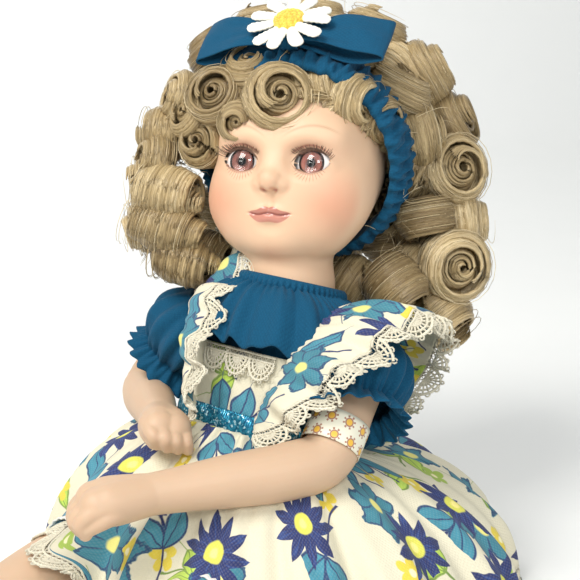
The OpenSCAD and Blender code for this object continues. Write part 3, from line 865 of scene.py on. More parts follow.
def lace_strip(name, edge, outward, body, material, closed=False):
    """Lace sewn along an edge: edge and outward are functions of a position 0 to 1 along it."""
    t = np.linspace(0, 1, 400)
    path = edge(t)
    run = distance_along(path)
    count = max(1, round(run[-1] / SCALLOP))
    pitch = run[-1] / count

    def place(points):
        along = points[:, 0] / SCALLOP * pitch
        where = np.interp(along % run[-1] if closed else along, run, t)
        base, out = edge(where), outward(where)
        step = edge(np.clip(where + 0.002, 0, 1)) - edge(np.clip(where - 0.002, 0, 1))
        up = unit(np.cross(step, out))
        return base + out * points[:, 1:2] + up * points[:, 2:3]

    parts = []
    for k in range(count):
        for thread, thick in lace_unit():
            shifted = thread + [k * SCALLOP, 0, 0]
            shifted[:, 0] = np.clip(shifted[:, 0], 1e-3, count * SCALLOP - 1e-3)
            parts.append(tube(place(shifted), thick, 5))
    points, faces, uvs = join(parts)
    points[:, 2] = np.maximum(points[:, 2], TABLE + LACE_HALF)
    return piece(name, points, faces, body, material, uvs)


def along_row(points):
    """A row of points as a function of a position 0 to 1 along it."""
    t = np.linspace(0, 1, len(points))
    return lambda where: np.stack([np.interp(where, t, points[:, k]) for k in range(3)], 1)


def edge_lace(name, grid, body, material, closed=False):
    """Lace along a sheet's last row of points, carrying on the way the sheet runs there."""
    rim = grid[:, -1]
    out = unit(grid[:, -1] - grid[:, -4])
    if closed:
        rim, out = np.vstack([rim, rim[:1]]), np.vstack([out, out[:1]])
    outward = along_row(out)
    return lace_strip(name, along_row(rim), lambda w: unit(outward(w)), body, material, closed)


# ------------------------------------------------------------------ skirt

LEG_X = 22.0
WAIST = TORSO.out([0, 0, 28.0])
lean = math.acos(TORSO.axes[2][2])
print_cloth = cotton_print()
blue_cloth = cotton_blue()
white_cloth = cotton_white()
lace_cloth = lace_thread()


def soft_max(a, b, k):
    return -join_soft(-a, -b, k)


def leg_height(x, y, lift):
    """How high cloth lies over the two legs."""
    top = np.full(x.shape, -60.0)
    hip = joint_at("left_hip")
    for side in (-1, 1):
        middle_x = hips_at[0] + side * LEG_X
        ahead = np.clip((hip[1] - y) / 84, 0, 1.2)
        radius = 11.5 - 4.0 * ahead + lift
        centre = hip[2] + 1.5 - 5 * ahead
        inside = np.clip(radius**2 - (x - middle_x) ** 2, 0, None)
        reach = centre + np.sqrt(inside)
        beside = np.clip((np.abs(x - middle_x) - radius) / 9, 0, 1) * 22
        ramp = beside + np.clip((y - hip[1] + 4) / 8, 0, 1) * 40
        top = np.maximum(top, reach - ramp)
    return top


def skirt_grid(drop, length, columns, rows, folds, deep, seed):
    """A gathered skirt from the waist to its hem, lying over the legs.
    drop is how far it lies under the outer layer, and deep is the height of its folds."""
    rng = np.random.default_rng(seed)
    phase = rng.uniform(0, TAU, 8)
    around = around_steps(columns)
    t = row_steps(rows)
    run = t * length
    # the fall of the cloth: out from the waist, then over and down
    tilt = np.radians(14 + 66 * np.clip(run / 62, 0, 1) ** 1.5)
    step = length / (rows - 1)
    out = np.cumsum(np.cos(tilt) * step, 1) - step * np.cos(tilt[:, :1])
    fall = np.cumsum(np.sin(tilt) * step, 1) - step * np.sin(tilt[:, :1])
    dx, dy = np.sin(around), -np.cos(around)
    start = np.stack([24.5 * dx, 17.8 * dy, 0 * dx], -1)
    sway = 1.6 * np.sin(2 * around + phase[0]) + 1.1 * np.sin(5 * around + phase[1])
    ripple = np.sin(folds * around + sway)
    second = np.sin(folds * 2.3 * around + 2.2 * np.sin(3 * around + phase[2]) + phase[3])
    gather = np.sin(62 * around + 2 * np.sin(9 * around + phase[4]))
    grow = np.clip(t * 1.25, 0, 1) ** 1.1
    wave = deep * grow * (ripple * (0.75 + 0.25 * np.sin(4 * around + phase[5])) + 0.35 * second)
    wave = wave + 0.75 * np.exp(-t * 7) * gather
    wave = wave + 0.5 * np.sin(31 * around + phase[6] + 4 * t) * np.exp(-t * 3)
    wide = 1 + 0.06 * np.sin(around + 0.4) * grow
    reach = (out - drop * (0.8 + 1.3 * grow)) * wide + wave
    x = WAIST[0] + 3.0 * grow + start[..., 0] + dx * reach
    y = WAIST[1] + 1.5 * grow + start[..., 1] + dy * reach
    leaned = -start[..., 1] * math.sin(lean) * np.exp(-2.6 * t)
    z = WAIST[2] + 1.0 - drop - fall + 0.35 * wave * np.cos(tilt) + leaned
    lie = leg_height(x, y, 2.4 - drop * 0.6)
    z = soft_max(z, lie, 5.0)
    z = soft_max(z, 1.2 + 0 * z, 3.0)
    return np.stack([x, y, z], -1)


def make_skirt():
    """The printed skirt and the petticoat under it, each with lace at its hem."""
    flat = (420.0, 63.0)
    grid = skirt_grid(0, 63.0, 620, 60, 16, 3.4, 3)
    skirt = surface("gathered_skirt", grid, "torso", print_cloth, RING, flat, thick=0.45, node=["skirt"])
    lace = edge_lace("skirt_hem_lace", grid[::2], "torso", lace_cloth, True)
    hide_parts("skirt_lace")
    under = skirt_grid(2.6, 61.0, 480, 40, 21, 0.9, 5)
    flat = (340.0, 61.0)
    petticoat = surface("petticoat_cloth", under, "torso", white_cloth, RING, flat, thick=0.4,
                        node=["petticoat"])
    under_lace = edge_lace("petticoat_lace", under[::2], "torso", lace_cloth, True)


# ------------------------------------------------------------------ bodice and blouse


def stadium(around, half, radius):
    """A point on an outline with straight front and back: around is 0 at the front, growing to the left."""
    straight = 2 * half
    bend = math.pi * radius
    total = 2 * straight + 2 * bend
    run = (np.asarray(around) / TAU * total + half) % total
    x = np.zeros_like(run)
    y = np.zeros_like(run)
    first = run < straight
    x[first], y[first] = run[first] - half, -radius
    second = (run >= straight) & (run < straight + bend)
    a = (run[second] - straight) / radius
    x[second], y[second] = half + radius * np.sin(a), -radius * np.cos(a)
    third = (run >= straight + bend) & (run < 2 * straight + bend)
    x[third], y[third] = half - (run[third] - straight - bend), radius
    last = run >= 2 * straight + bend
    a = (run[last] - 2 * straight - bend) / radius
    x[last], y[last] = -half - radius * np.sin(a), radius * np.cos(a)
    return x, y


def tube_of_cloth(columns, rows, half, radius, low, high, wave):
    """A close-fitting tube round the torso. wave(around, t) is how far the cloth stands off."""
    around = around_steps(columns) + np.zeros((1, rows))
    t = row_steps(rows) + np.zeros((columns, 1))
    x, y = stadium(around, half, radius)
    away = unit(np.stack([x - np.clip(x, -half, half), y, 0 * x], -1))
    flat = np.stack([x, y, low + (high - low) * t], -1) + away * wave(around, t)[..., None]
    return TORSO.out(flat)


def make_bodice():
    """The pinafore's bodice with its bib lace, the blouse under it and the waist ribbon."""

    def creases(a, t):
        tuck = 0.55 * np.sin(30 * a + 2 * np.sin(5 * a)) * np.exp(-t * 3.5)
        soft = 0.45 * np.sin(7 * a + 5 * t) * np.sin(3.1 * t + a)
        return tuck + soft + 0.5

    grid = tube_of_cloth(260, 40, 8.2, 15.8, 27, 50.5, creases)
    flat = (150.0, 24.0)
    bodice = surface("printed_bodice", grid, "torso", print_cloth, RING, flat, flip=True, thick=0.45,
                     node=["pinafore_bodice"])
    front = np.linspace(-0.55, 0.55, 60)
    x, y = stadium(front % TAU, 8.2, 17.0)
    rim = TORSO.out(np.stack([x, y, 50.3 + 0 * x], 1))
    down = np.broadcast_to(TORSO.turn([0, -0.12, -1.0]), rim.shape)
    lace = lace_strip("bib_crochet_lace", along_row(rim), along_row(down), "torso", lace_cloth)
    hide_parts("bib_lace")

    def chest(a, t):
        return 0.35 * np.sin(9 * a + 3 * t) + 0.3 * np.sin(23 * a) * t

    grid = tube_of_cloth(220, 40, 8.0, 14.9, 33, 61, chest)
    inside = TORSO.into(grid)
    pull = np.clip((inside[..., 2] - 50) / 11, 0, 1)[..., None]
    inside = inside * (1 - pull * np.array([-0.02, 0.24, 0]))
    flat = (145.0, 28.0)
    blouse = surface("blouse_cloth", TORSO.out(inside), "torso", blue_cloth, RING, flat, flip=True,
                     thick=0.4, node=["blouse"])

    def pleat(a, t):
        return 0.25 * np.sin(18 * a + 4 * t) + 0.4 * np.sin(math.pi * t)

    grid = tube_of_cloth(240, 12, 8.2, 17.3, 28.2, 33.6, pleat)
    surface("waist_ribbon_cloth", grid, "torso", ribbon_metallic(), RING, (160.0, 6.0), flip=True,
            thick=0.35, node=["waist_ribbon"])


def make_collar():
    """The neck binding and the gathered frill that falls from it over the chest and shoulders."""
    columns, rows = 520, 36
    a = around_steps(columns)
    t = row_steps(rows)
    fold = np.sin(15 * a + 2.2 * np.sin(3 * a) + 1.4 * np.sin(7 * a + 1))
    small = np.sin(55 * a + 2 * np.sin(5 * a))
    wave = 1.35 * t**0.8 * fold + 0.55 * small * np.exp(-4 * t) + 0.5 * np.sin(26 * a + 2 * np.sin(4 * a)) * t
    rx = 14.6 + 15.5 * np.sin(t * 1.45) + wave * 0.5
    ry = 14.4 + 8.3 * np.sin(t * 1.5) + wave * 0.6
    w = NECK_W + 3.2 - 3.0 * t - 14.0 * t**1.9 + wave * 0.75
    flat_points = np.stack([rx * np.sin(a), -ry * np.cos(a), w + 0 * a], -1)
    size = (215.0, 20.0)
    frill = surface("collar_frill", TORSO.out(flat_points), "torso", blue_cloth, RING, size, thick=0.4)
    b = row_steps(14, 0, TAU) / 2 - math.pi / 2
    ruche = 0.28 * np.sin(58 * a) * np.cos(b) ** 2
    radius = 14.5 + (1.15 + ruche) * np.cos(b)
    high = NECK_W + 3.4 + 2.1 * np.sin(b)
    ring = np.stack([radius * np.sin(a), -radius * np.cos(a), high + 0 * a], -1)
    surface("neck_binding", TORSO.out(ring), "torso", blue_cloth, RING, (100.0, 6.0), thick=0.4,
            node=["blouse_collar"])


def make_ruffle(word, side):
    """The pinafore's shoulder ruffle, from the waist at the front over the shoulder to the waist at the back.
    The right one is turned in towards the chest at the front."""
    s = np.linspace(0, 1, 300)
    turned = 1 if side > 0 else 1 - 1.75 * np.clip((0.62 - s) / 0.22, 0, 1)
    seam = smooth_path([[10.5, -17.6, 33], [13.5, -18.6, 42], [17, -17.5, 51], [19.5, -12.5, 60.5],
                        [20, -4, 66.5], [20, 5, 66], [18.5, 12.5, 60], [15.5, 17.2, 51],
                        [12, 18.2, 42], [9.5, 17.8, 33]], 300)
    full = np.sin(math.pi * s) ** 0.75
    seam[:, 0] += 2.2 * (1 - turned) * full
    centre = np.array([0, 0, SHOULDER_W - 6])
    radial = unit((seam - centre) * [0, 1, 1])
    lateral = np.array([1.0, 0, 0])
    sideways = (0.60 + 0.85 * full) * turned
    upward = 0.75 - 0.50 * full + 0.30 * (1 - turned)
    out = unit(lateral * sideways[:, None] + radial * upward[:, None])
    lift = unit(np.cross(out, np.gradient(seam, axis=0)))
    lift *= np.sign((lift * radial).sum(1))[:, None]
    width = 4.5 + (19.5 if side > 0 else 10.5) * full
    rows = 34
    t = np.linspace(0, 1, rows)
    phase = 0.6 if side > 0 else 2.1
    fold = np.sin(TAU * 9.5 * s + phase + 0.9 * np.sin(TAU * 2 * s))
    fold2 = np.sin(TAU * 22 * s + phase * 2)
    wave = 1.75 * fold[:, None] * t**1.1 + 0.45 * fold2[:, None] * (0.3 + t) + \
        0.35 * np.sin(TAU * 44 * s)[:, None] * np.exp(-5 * t)
    rise = (3.2 * np.sin(t * 2.0) - 4.6 * t**2) * full[:, None]
    points = seam[:, None] + out[:, None] * (width[:, None] * t)[..., None] + \
        lift[:, None] * (wave * (0.4 + 0.6 * full[:, None]) + rise)[..., None]
    points = points * [side, 1, 1]
    size = (150.0, 20.0 if side > 0 else 14.0)
    obj = surface(f"{word}_ruffle_cloth", TORSO.out(points), "torso", print_cloth, cut=size, flip=side > 0,
                  thick=0.45, node=[f"{word}_ruffle"])
    lace = edge_lace(f"{word}_ruffle_crochet", TORSO.out(points), "torso", lace_cloth)
    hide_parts(f"{word}_ruffle_lace")
    size[0] * MM
    size[1] * MM


def make_sleeve(word, side):
    """A short puffed sleeve, full over the shoulder and frilled at its open end."""
    shoulder = TORSO.into(joint_at(f"{word}_shoulder"))
    away = unit([0.42, -0.42, -0.92] if side > 0 else [-0.62, 0.10, -0.86])
    start = shoulder + [-side * 4.5, 0, 2.0]
    columns, rows = 360, 44
    a = around_steps(columns)
    t = row_steps(rows)
    x_axis = unit(np.cross(away, [0, 1.0, 0]))
    y_axis = np.cross(away, x_axis)
    puff = 7.5 + 7.2 * np.sin(np.clip(t * 1.12, 0, 1) * math.pi) ** 0.7
    puff = np.where(t > 0.80, 10.6 + (t - 0.80) * 21, np.maximum(puff, 10.6 * (t > 0.4)))
    fold = np.sin(15 * a + 1.5 * np.sin(2 * a + side))
    small = np.sin(38 * a + 2 * np.sin(3 * a))
    wave = 0.95 * fold * np.sin(t * math.pi) ** 0.6 + 0.5 * small * np.exp(-((t - 0.8) / 0.14) ** 2)
    wave = wave + 1.0 * np.sin(19 * a + side) * np.clip((t - 0.82) / 0.18, 0, 1)
    radius = puff + wave
    points = laid_out(start, (x_axis, radius * np.cos(a)), (y_axis, radius * np.sin(a)), (away, 24.0 * t))
    size = (110.0, 31.0)
    obj = surface(f"{word}_sleeve_cloth", TORSO.out(points), f"{word}_arm", blue_cloth, RING, size,
                  thick=0.4, node=[f"{word}_sleeve"])


make_skirt()
make_bodice()
make_collar()
for word, side in BOTH:
    make_ruffle(word, side)
    make_sleeve(word, side)

# ------------------------------------------------------------------ wig


def hair_material(name, dark, light):
    """Pale hair with painted highlights on its palest streaks: the field hair holds a strand's own shade, how
    far along it is, and how far across.
    """
    mat = Mat(name, 0.28, Sheen_Weight=0.03, Sheen_Roughness=0.4)
    shade, along, across = mat.parts(mat.field("hair"))
    streak = mat.noise(mat.vector(along * 1.6, across * 26.0, shade * 9.0), 1.0, 3, 0.6)
    fine = mat.noise(mat.vector(along * 2.5, across * 90.0, shade * 5.0), 1.0, 2)
    tone = streak * 0.7 + shade * 0.45 + fine * 0.3 - 0.28
    colour = mat.mix(tone.above(0.42, 0.3), dark, light)
    # painted highlight: the palest streaks are mixed towards a bright pale gold
    colour = mat.mix(tone.above(0.62, 0.16) * 0.85, colour, (0.98, 0.85, 0.58))
    mat.bump(streak * 0.7 + fine * 0.5, 0.25, 0.75)
    return mat.set(Base_Color=colour)


SAMPLES_A_TURN = 18


def strand(path, radius, shade, sides=5, start=0.0):
    """One lock as a thread that tapers at its ends, with its hair field."""
    path = np.asarray(path, float)
    count = len(path)
    u = np.linspace(0, 1, count)
    taper = np.clip(np.minimum(u / 0.04, (1 - u) / 0.10), 0.12, 1) ** 0.6
    points, faces, _ = tube(path, radius * taper, sides)
    run = distance_along(path)
    field = np.stack([np.full(count * sides, shade), np.repeat(run * 0.12 + start, sides),
                      np.tile(np.arange(sides) / sides, count) + shade * 3], 1)
    return points, faces, field


def hair_piece(name, strands, node=()):
    """Locks joined into one piece that rides on the head."""
    points, faces, field = join(strands)
    return piece(name, points, faces, "head", hair_cloth, fields={"hair": field}, node=list(node))


def coil(rng, middle_at, frame_of, radius, length, turns, locks, spin, hand, tight, curl_shade):
    """Locks of hair side by side, wound round an axis, the end closing in to a smaller ring."""
    axis, side, up = frame_of
    count = int(SAMPLES_A_TURN * turns)
    u = np.linspace(0, 1, count)
    width = length / turns * 1.35
    made = []
    for k in range(locks):
        across = (k + 0.5) / locks - 0.5
        loose = rng.normal(0, 0.06)
        at = (u - 0.5) * (length - width) + across * width + rng.normal(0, 0.10)
        crown = 1.1 * (1 - (2 * across) ** 2)
        ends = tight * np.clip((u - 0.62) / 0.38, 0, 1) ** 1.3 + 0.16 * np.clip(0.2 - u, 0, 1) * 5
        barrel = 1.04 - 0.26 * (2 * at / length) ** 2
        r = radius * barrel * (1 - ends) - 1.0 + crown + loose + 0.16 * np.sin(u * TAU * 1.7 + k * 0.5)
        a = spin + hand * (u * turns * TAU + 0.04 * k + rng.normal(0, 0.05))
        path = laid_out(middle_at, (axis, at), (side, r * np.cos(a)), (up, r * np.sin(a)))
        thick = rng.uniform(0.46, 0.68)
        shade = curl_shade + rng.uniform(-0.16, 0.2)
        made.append(strand(path, thick, shade, start=rng.uniform(0, 9)))
    return made


def ringlet(rng, middle_at, axis, radius, length, turns=2.5, locks=26):
    """A rolled curl: an outer coil, two smaller ones inside it with darker tones as painted shade, and a few
    loose hairs.
    """
    axis = unit(axis)
    helper = np.array([0, 0, 1.0]) if abs(axis[2]) < 0.8 else np.array([1.0, 0, 0])
    side = unit(np.cross(helper, axis))
    up = np.cross(axis, side)
    spin, hand = rng.uniform(0, TAU), rng.choice([-1, 1])
    shade = rng.uniform(0.15, 0.65)
    frame_of = (axis, side, up)
    made = coil(rng, middle_at, frame_of, radius, length, turns, locks, spin, hand, 0.36, shade)
    # painted shade: the inner coils are toned darker than the outer one
    made += coil(rng, middle_at - axis * 0.8, frame_of, radius * 0.62, length * 0.94, turns - 0.4, locks // 2,
                 spin + 1.9, hand, 0.45, shade - 0.12)
    made += coil(rng, middle_at + axis * 0.4, frame_of, radius * 0.36, length * 0.8, turns - 0.7, locks // 3,
                 spin + 3.4, hand, 0.5, shade - 0.18)
    count = int(SAMPLES_A_TURN * turns)
    u = np.linspace(0, 1, count)
    for _ in range(10):
        at = (u - 0.5) * length * 0.6 + rng.uniform(-0.5, 0.5) * length * 0.6
        closing = 1 - 0.4 * np.clip((u - 0.66) / 0.34, 0, 1)
        r = radius * closing + rng.uniform(0.1, 0.9) + 0.3 * np.sin(u * 9 + spin)
        a = spin + hand * (u * turns * TAU + rng.uniform(-0.6, 0.6))
        path = laid_out(middle_at, (axis, at), (side, r * np.cos(a)), (up, r * np.sin(a)))
        made.append(strand(path[: int(count * rng.uniform(0.5, 1))], 0.11, rng.uniform(0.3, 1.1), 3))
    return made


# directions over the wig as the doll is seen from its left front: to the right, up, and towards the viewer
sight = math.radians(22)
SEEN = np.array([[math.cos(sight), math.sin(sight), 0], [0, 0, 1], [math.sin(sight), -math.cos(sight), 0]])
BROW = EYE * [0, 1, 1]

# curls in front, placed from between the eyes in those directions: middle, axis, radius, length
FRINGE = [
    [(-3, 17.5, 6), (0.05, 0.15, 1), 9.0, 11], [(4, 23, 0), (0.25, 0.35, 1), 9.0, 12],
    [(17, 18.5, 3), (0.8, -0.3, 0.6), 7.6, 14], [(10, 22, 1), (0.9, 0.2, 0.5), 7.0, 13],
    [(-20, 19, -6), (-0.45, 0.25, 1), 8.2, 12], [(-13, 10.5, 1), (-0.35, -0.2, 1), 5.6, 9],
    [(-23, 7, -11), (-0.6, -0.1, 0.9), 7.2, 12], [(-11, 27, -5), (-0.3, 0.7, 0.8), 7.6, 12],
    [(-31, 20, -17), (-1, 0.2, 0.4), 7.0, 10], [(-37, 1, -19), (-1, 0.15, 0.3), 7.2, 11],
    [(-27, 14, -12), (-0.8, 0.3, 0.7), 6.6, 11], [(25, 15, 0), (0.7, -0.45, 0.7), 6.4, 11]]
# curls at the sides and over the crown, in the same terms
SIDES = [
    [(-32, -8, -15), (1, -0.1, 0.25), 7.2, 23], [(-31, -18, -17), (1, -0.15, 0.2), 7.2, 24],
    [(-26, -27, -19), (1, -0.25, 0.1), 6.6, 22], [(-35, 10, -24), (-1, 0.1, -0.2), 7.5, 17],
    [(-38, -4, -27), (-1, -0.1, 0.1), 7.6, 16], [(-38, -17, -28), (-1, -0.3, 0.1), 7.4, 16],
    [(39, 34, -22), (0.8, 0.6, 0.25), 9.6, 17], [(50, 6, -19), (0.45, 0.05, 0.95), 9.8, 14],
    [(52, -22, -17), (0.30, -0.15, 0.95), 9.8, 14], [(54, -8, -26), (1, 0.25, 0.1), 9.0, 17],
    [(50, -37, -24), (0.6, -0.7, 0.4), 8.8, 19], [(35, -30, -14), (0.55, -0.75, 0.3), 8.0, 22],
    [(49, 21, -26), (1, 0.5, 0.5), 9.2, 17], [(42, -10, -28), (0.9, -0.3, 0.5), 8.0, 15],
    [(24, 45, -22), (0.4, 1, 0.2), 9.0, 15], [(7, 47, -24), (0.1, 1, 0.1), 8.8, 15],
    [(-9, 44, -24), (-0.2, 1, 0.1), 8.4, 15], [(-22, 35, -22), (-0.6, 0.8, 0.1), 8.2, 14],
    [(24, -29, -26), (0.8, -0.5, 0.2), 7.5, 16], [(-20, -24, -26), (1, -0.2, 0.2), 6.5, 14],
    [(41, -24, -26), (0.7, -0.5, 0.3), 8.2, 17], [(43, 12, -30), (0.9, 0.1, 0.3), 8.6, 17]]


# the curls at the back: degrees behind the headband, how many, and how far from the skull's middle
BACK_RINGS = (("back", ((28, 13, 33),)), ("upper_back", ((48, 11, 37), (68, 7, 39), (88, 2, 40))))
STAGGERED = (48, 88)
CURLS_APART = 8.5
# the ringlets at the neck: degrees from the back, how far out, top and bottom
NECK_RINGLETS = ((0, 37, 30, 10), (28, 38, 30, 14), (-28, 38, 30, 14), (58, 38, 34, 20), (-58, 38, 34, 20))


def seen_place(at):
    return HEAD.out(BROW + np.array(at) @ SEEN)


def seen_turn(axis):
    return HEAD.turn(np.array(axis, float) @ SEEN)


def make_hair_cap():
    """The combed hair on the scalp, under the curls."""
    columns, rows = 260, 110
    t = np.linspace(-math.pi, math.pi, columns, endpoint=False)[:, None]
    edge = np.interp(np.abs(np.degrees(t)), [0, 45, 72, 90, 100, 130, 180], [123, 118, 104, 93, 91, 76, 62])
    edge = edge + 1.6 * np.sin(t * 23) + 1.0 * np.sin(t * 57 + 1)
    p = np.radians(row_steps(rows, 0.02) * edge)
    wave = 0.35 * np.sin(t * 41 + 2 * np.sin(p * 5)) + 0.22 * np.sin(t * 97 + p * 3)
    r = SKULL_R + 1.7 + wave * np.sin(p) - 1.0 * np.clip((p - np.radians(edge) + 0.10) / 0.10, 0, 1)
    points = np.stack([r * np.sin(t) * np.sin(p), r * np.cos(p) + 0 * t, r * np.cos(t) * np.sin(p)], -1)
    field = np.stack([0.3 + 0.2 * np.sin(t * 31) + 0 * p, p * 2.5, t * 4 + 0 * p], -1)
    surface("combed_hair", BAND.out(points), "head", hair_cloth, RING, node=["wig_cap"],
            fields={"hair": field.reshape(-1, 3)})


def make_wisps(rng):
    """Short hair along the forehead, and loose hairs round the whole wig."""
    made = []
    for _ in range(190):
        t = math.radians(rng.uniform(-86, 66))
        start = math.radians(np.interp(abs(math.degrees(t)), [0, 45, 90], [114, 110, 90]))
        reach = rng.uniform(6, 17) * (1.0 if math.degrees(t) < 10 else 0.6)
        sweep = rng.uniform(-0.45, 0.15)
        s = np.linspace(0, 1, 12)
        p = start + s * math.radians(reach)
        turn = t + sweep * s**1.3
        r = SKULL_R + 1.5 - 0.5 * s + 1.4 * np.sin(s * math.pi) * rng.uniform(0.2, 1)
        path = np.stack([r * np.sin(turn) * np.sin(p), r * np.cos(p), r * np.cos(turn) * np.sin(p)], 1)
        made.append(strand(BAND.out(path), rng.uniform(0.10, 0.26), rng.uniform(0.1, 0.9), 4))
    for _ in range(240):
        d = unit(rng.normal(0, 1, 3) + [0, 0.6, 0.15])
        if d[1] < -0.25 or d[2] < -0.75:
            continue
        base = SKULL + d * rng.uniform(30, 38)
        drift = unit(rng.normal(0, 1, 3) + d * 0.7)
        bend = unit(np.cross(drift, rng.normal(0, 1, 3)))
        s = column_steps(14)
        size = rng.uniform(6, 13)
        curl = rng.uniform(1.5, 4.5)
        path = base + drift * s * size + bend * np.sin(s * curl) * size * 0.35
        far = np.linalg.norm(path - SKULL, axis=1, keepdims=True)
        path = SKULL + (path - SKULL) * np.minimum(1, 52 / far)
        made.append(strand(HEAD.out(path), 0.085, rng.uniform(0.4, 1.1), 3))
    hair_piece("loose_hairs", made)


def make_wig():
    """The combed hair, the curls over it from the front to the back, and the loose hairs."""
    rng = np.random.default_rng(11)
    make_hair_cap()
    made = []
    for at, axis, radius, length in FRINGE:
        made += ringlet(rng, seen_place(at), seen_turn(axis), radius, length, 2.4, 26)
    hair_piece("fringe_curls", made, ["wig_fringe"])
    for word, side in BOTH:
        made = []
        for at, axis, radius, length in SIDES:
            if at[0] * side > 0:
                made += ringlet(rng, seen_place(at), seen_turn(axis), radius, length, 2.5, 24)
        hair_piece(f"{word}_side_curls", made, ["wig_back"])
    taken = [BROW + np.array(at) @ SEEN for at, *_ in SIDES + FRINGE]
    for word, rings in BACK_RINGS:
        made = []
        for tilt, count, far in rings:
            for k in range(count):
                turn = (k + 0.5 * (tilt in STAGGERED)) / count * TAU + rng.uniform(-0.08, 0.08)
                t = math.radians(tilt)
                d = np.array([math.sin(turn) * math.cos(t), math.sin(t), math.cos(turn) * math.cos(t)])
                spot = HEAD.into(BAND.out(d * far))
                low = spot[2] < 8 or (spot[2] < 20 and spot[1] < 4)
                if low or min(np.linalg.norm(spot - q) for q in taken) < CURLS_APART:
                    continue
                out = HEAD.turn(unit(spot - SKULL + rng.normal(0, 9, 3)))
                radius = rng.uniform(7.6, 9.2)
                length = rng.uniform(13, 17)
                made += ringlet(rng, HEAD.out(spot), out, radius, length, 2.3, 18)
        hair_piece(f"{word}_curls", made, ["wig_back"])
    made = []
    for turn, far, top, low in NECK_RINGLETS:
        a = math.radians(turn)
        spot = np.array([-far * math.sin(a), far * math.cos(a), (top + low) / 2])
        fall = HEAD.turn([-0.2 * math.sin(a), 0.2 * math.cos(a), -1])
        made += ringlet(rng, HEAD.out(spot), fall, 8.2, top - low, 2.6, 20)
    hair_piece("hanging_curls", made, ["wig_ringlets"])
    make_wisps(rng)


hair_cloth = hair_material("ash_blond_hair", (0.175, 0.113, 0.044), (0.72, 0.545, 0.285))
make_wig()

# ------------------------------------------------------------------ headband, bow and daisy


def make_headband():
    """The ruched band, a flat tube round the wig."""
    columns, rows = 720, 26
    a = around_steps(columns)
    b = np.linspace(0, TAU, rows, endpoint=False)[None, :]
    across = np.cos(b)
    outer = np.clip(np.sin(b), 0, 1)
    ruche = 0.75 * np.sin(40 * a + 2.6 * across + 1.6 * np.sin(7 * a)) + \
        0.6 * np.sin(58 * a - 3.4 * across + 1.4 * np.sin(11 * a)) + 0.3 * np.sin(97 * a + 5 * across)
    wide = 8.0 + 0.4 * np.sin(39 * a) + 0.3 * np.sin(23 * a + 1)
    r = BAND_R - 0.2 + (0.35 + 3.6 * outer**0.6) + ruche * outer**0.5 * 0.85
    points = np.stack([r * np.sin(a), across * wide, r * np.cos(a)], -1)
    size = (250.0, 19.0)
    band = surface("ruched_headband", BAND.out(points), "head", blue_cloth, (True, True), size,
                   node=["headband"])


BOW_AT = BAND_R + 2.8 + 4.4
BOW_REACH = 27.0
bow_tilt = math.radians(24)
BOW = Place(BAND.out([0, 0, BOW_AT]), BAND.axes[0], BAND.turn([0, -math.sin(bow_tilt), math.cos(bow_tilt)]))


def make_bow():
    """Two folded loops and the knot between them."""
    for word, side in BOTH:
        u = column_steps(90)
        v = row_steps(28, -1, 1)
        x = 1.5 + (BOW_REACH - 1.5) * (1 - np.abs(2 * u - 1) ** 2.4) ** 0.9
        layer = np.sign(0.5 - u) * np.abs(np.cos(u * math.pi)) ** 0.7
        far = x / BOW_REACH
        puff = 0.5 + 2.1 * np.sin(np.clip(far, 0, 1) * math.pi * 0.86) ** 0.8
        half = 2.4 + 5.4 * far**0.75
        y = v * half
        pleat = 0.8 * np.cos(v * 8.5 + side) * np.exp(-x / 8.0) + 0.45 * np.sin(0.33 * x + 2.2 * v + side)
        z = layer * puff + pleat - 0.0035 * x**2 - 1.2 * np.clip(-v, 0, 1) * np.sin(far * math.pi)
        points = np.stack([side * x + 0 * v, y + 0 * u, z], -1)
        size = (56.0, 15.0)
        obj = surface(f"{word}_bow_loop", BOW.out(points), "head", blue_cloth, cut=size, flip=side > 0,
                      thick=0.4, node=["bow_loops"])
    a = around_steps(60)
    v = row_steps(16, -1, 1)
    bulge = 1 + 0.10 * (1 - v**2)
    y = 4.4 * np.cos(a) * bulge + 0.2 * np.sin(9 * v + a)
    z = 3.0 * np.sin(a) * bulge + 0.15 * np.sin(12 * v)
    knot = np.stack([2.6 * v + 0.2 * np.sin(3 * a), y, z - 0.4], -1)
    surface("bow_knot_cloth", BOW.out(knot), "head", blue_cloth, RING, (28.0, 6.0), thick=0.4,
            node=["bow_knot"])


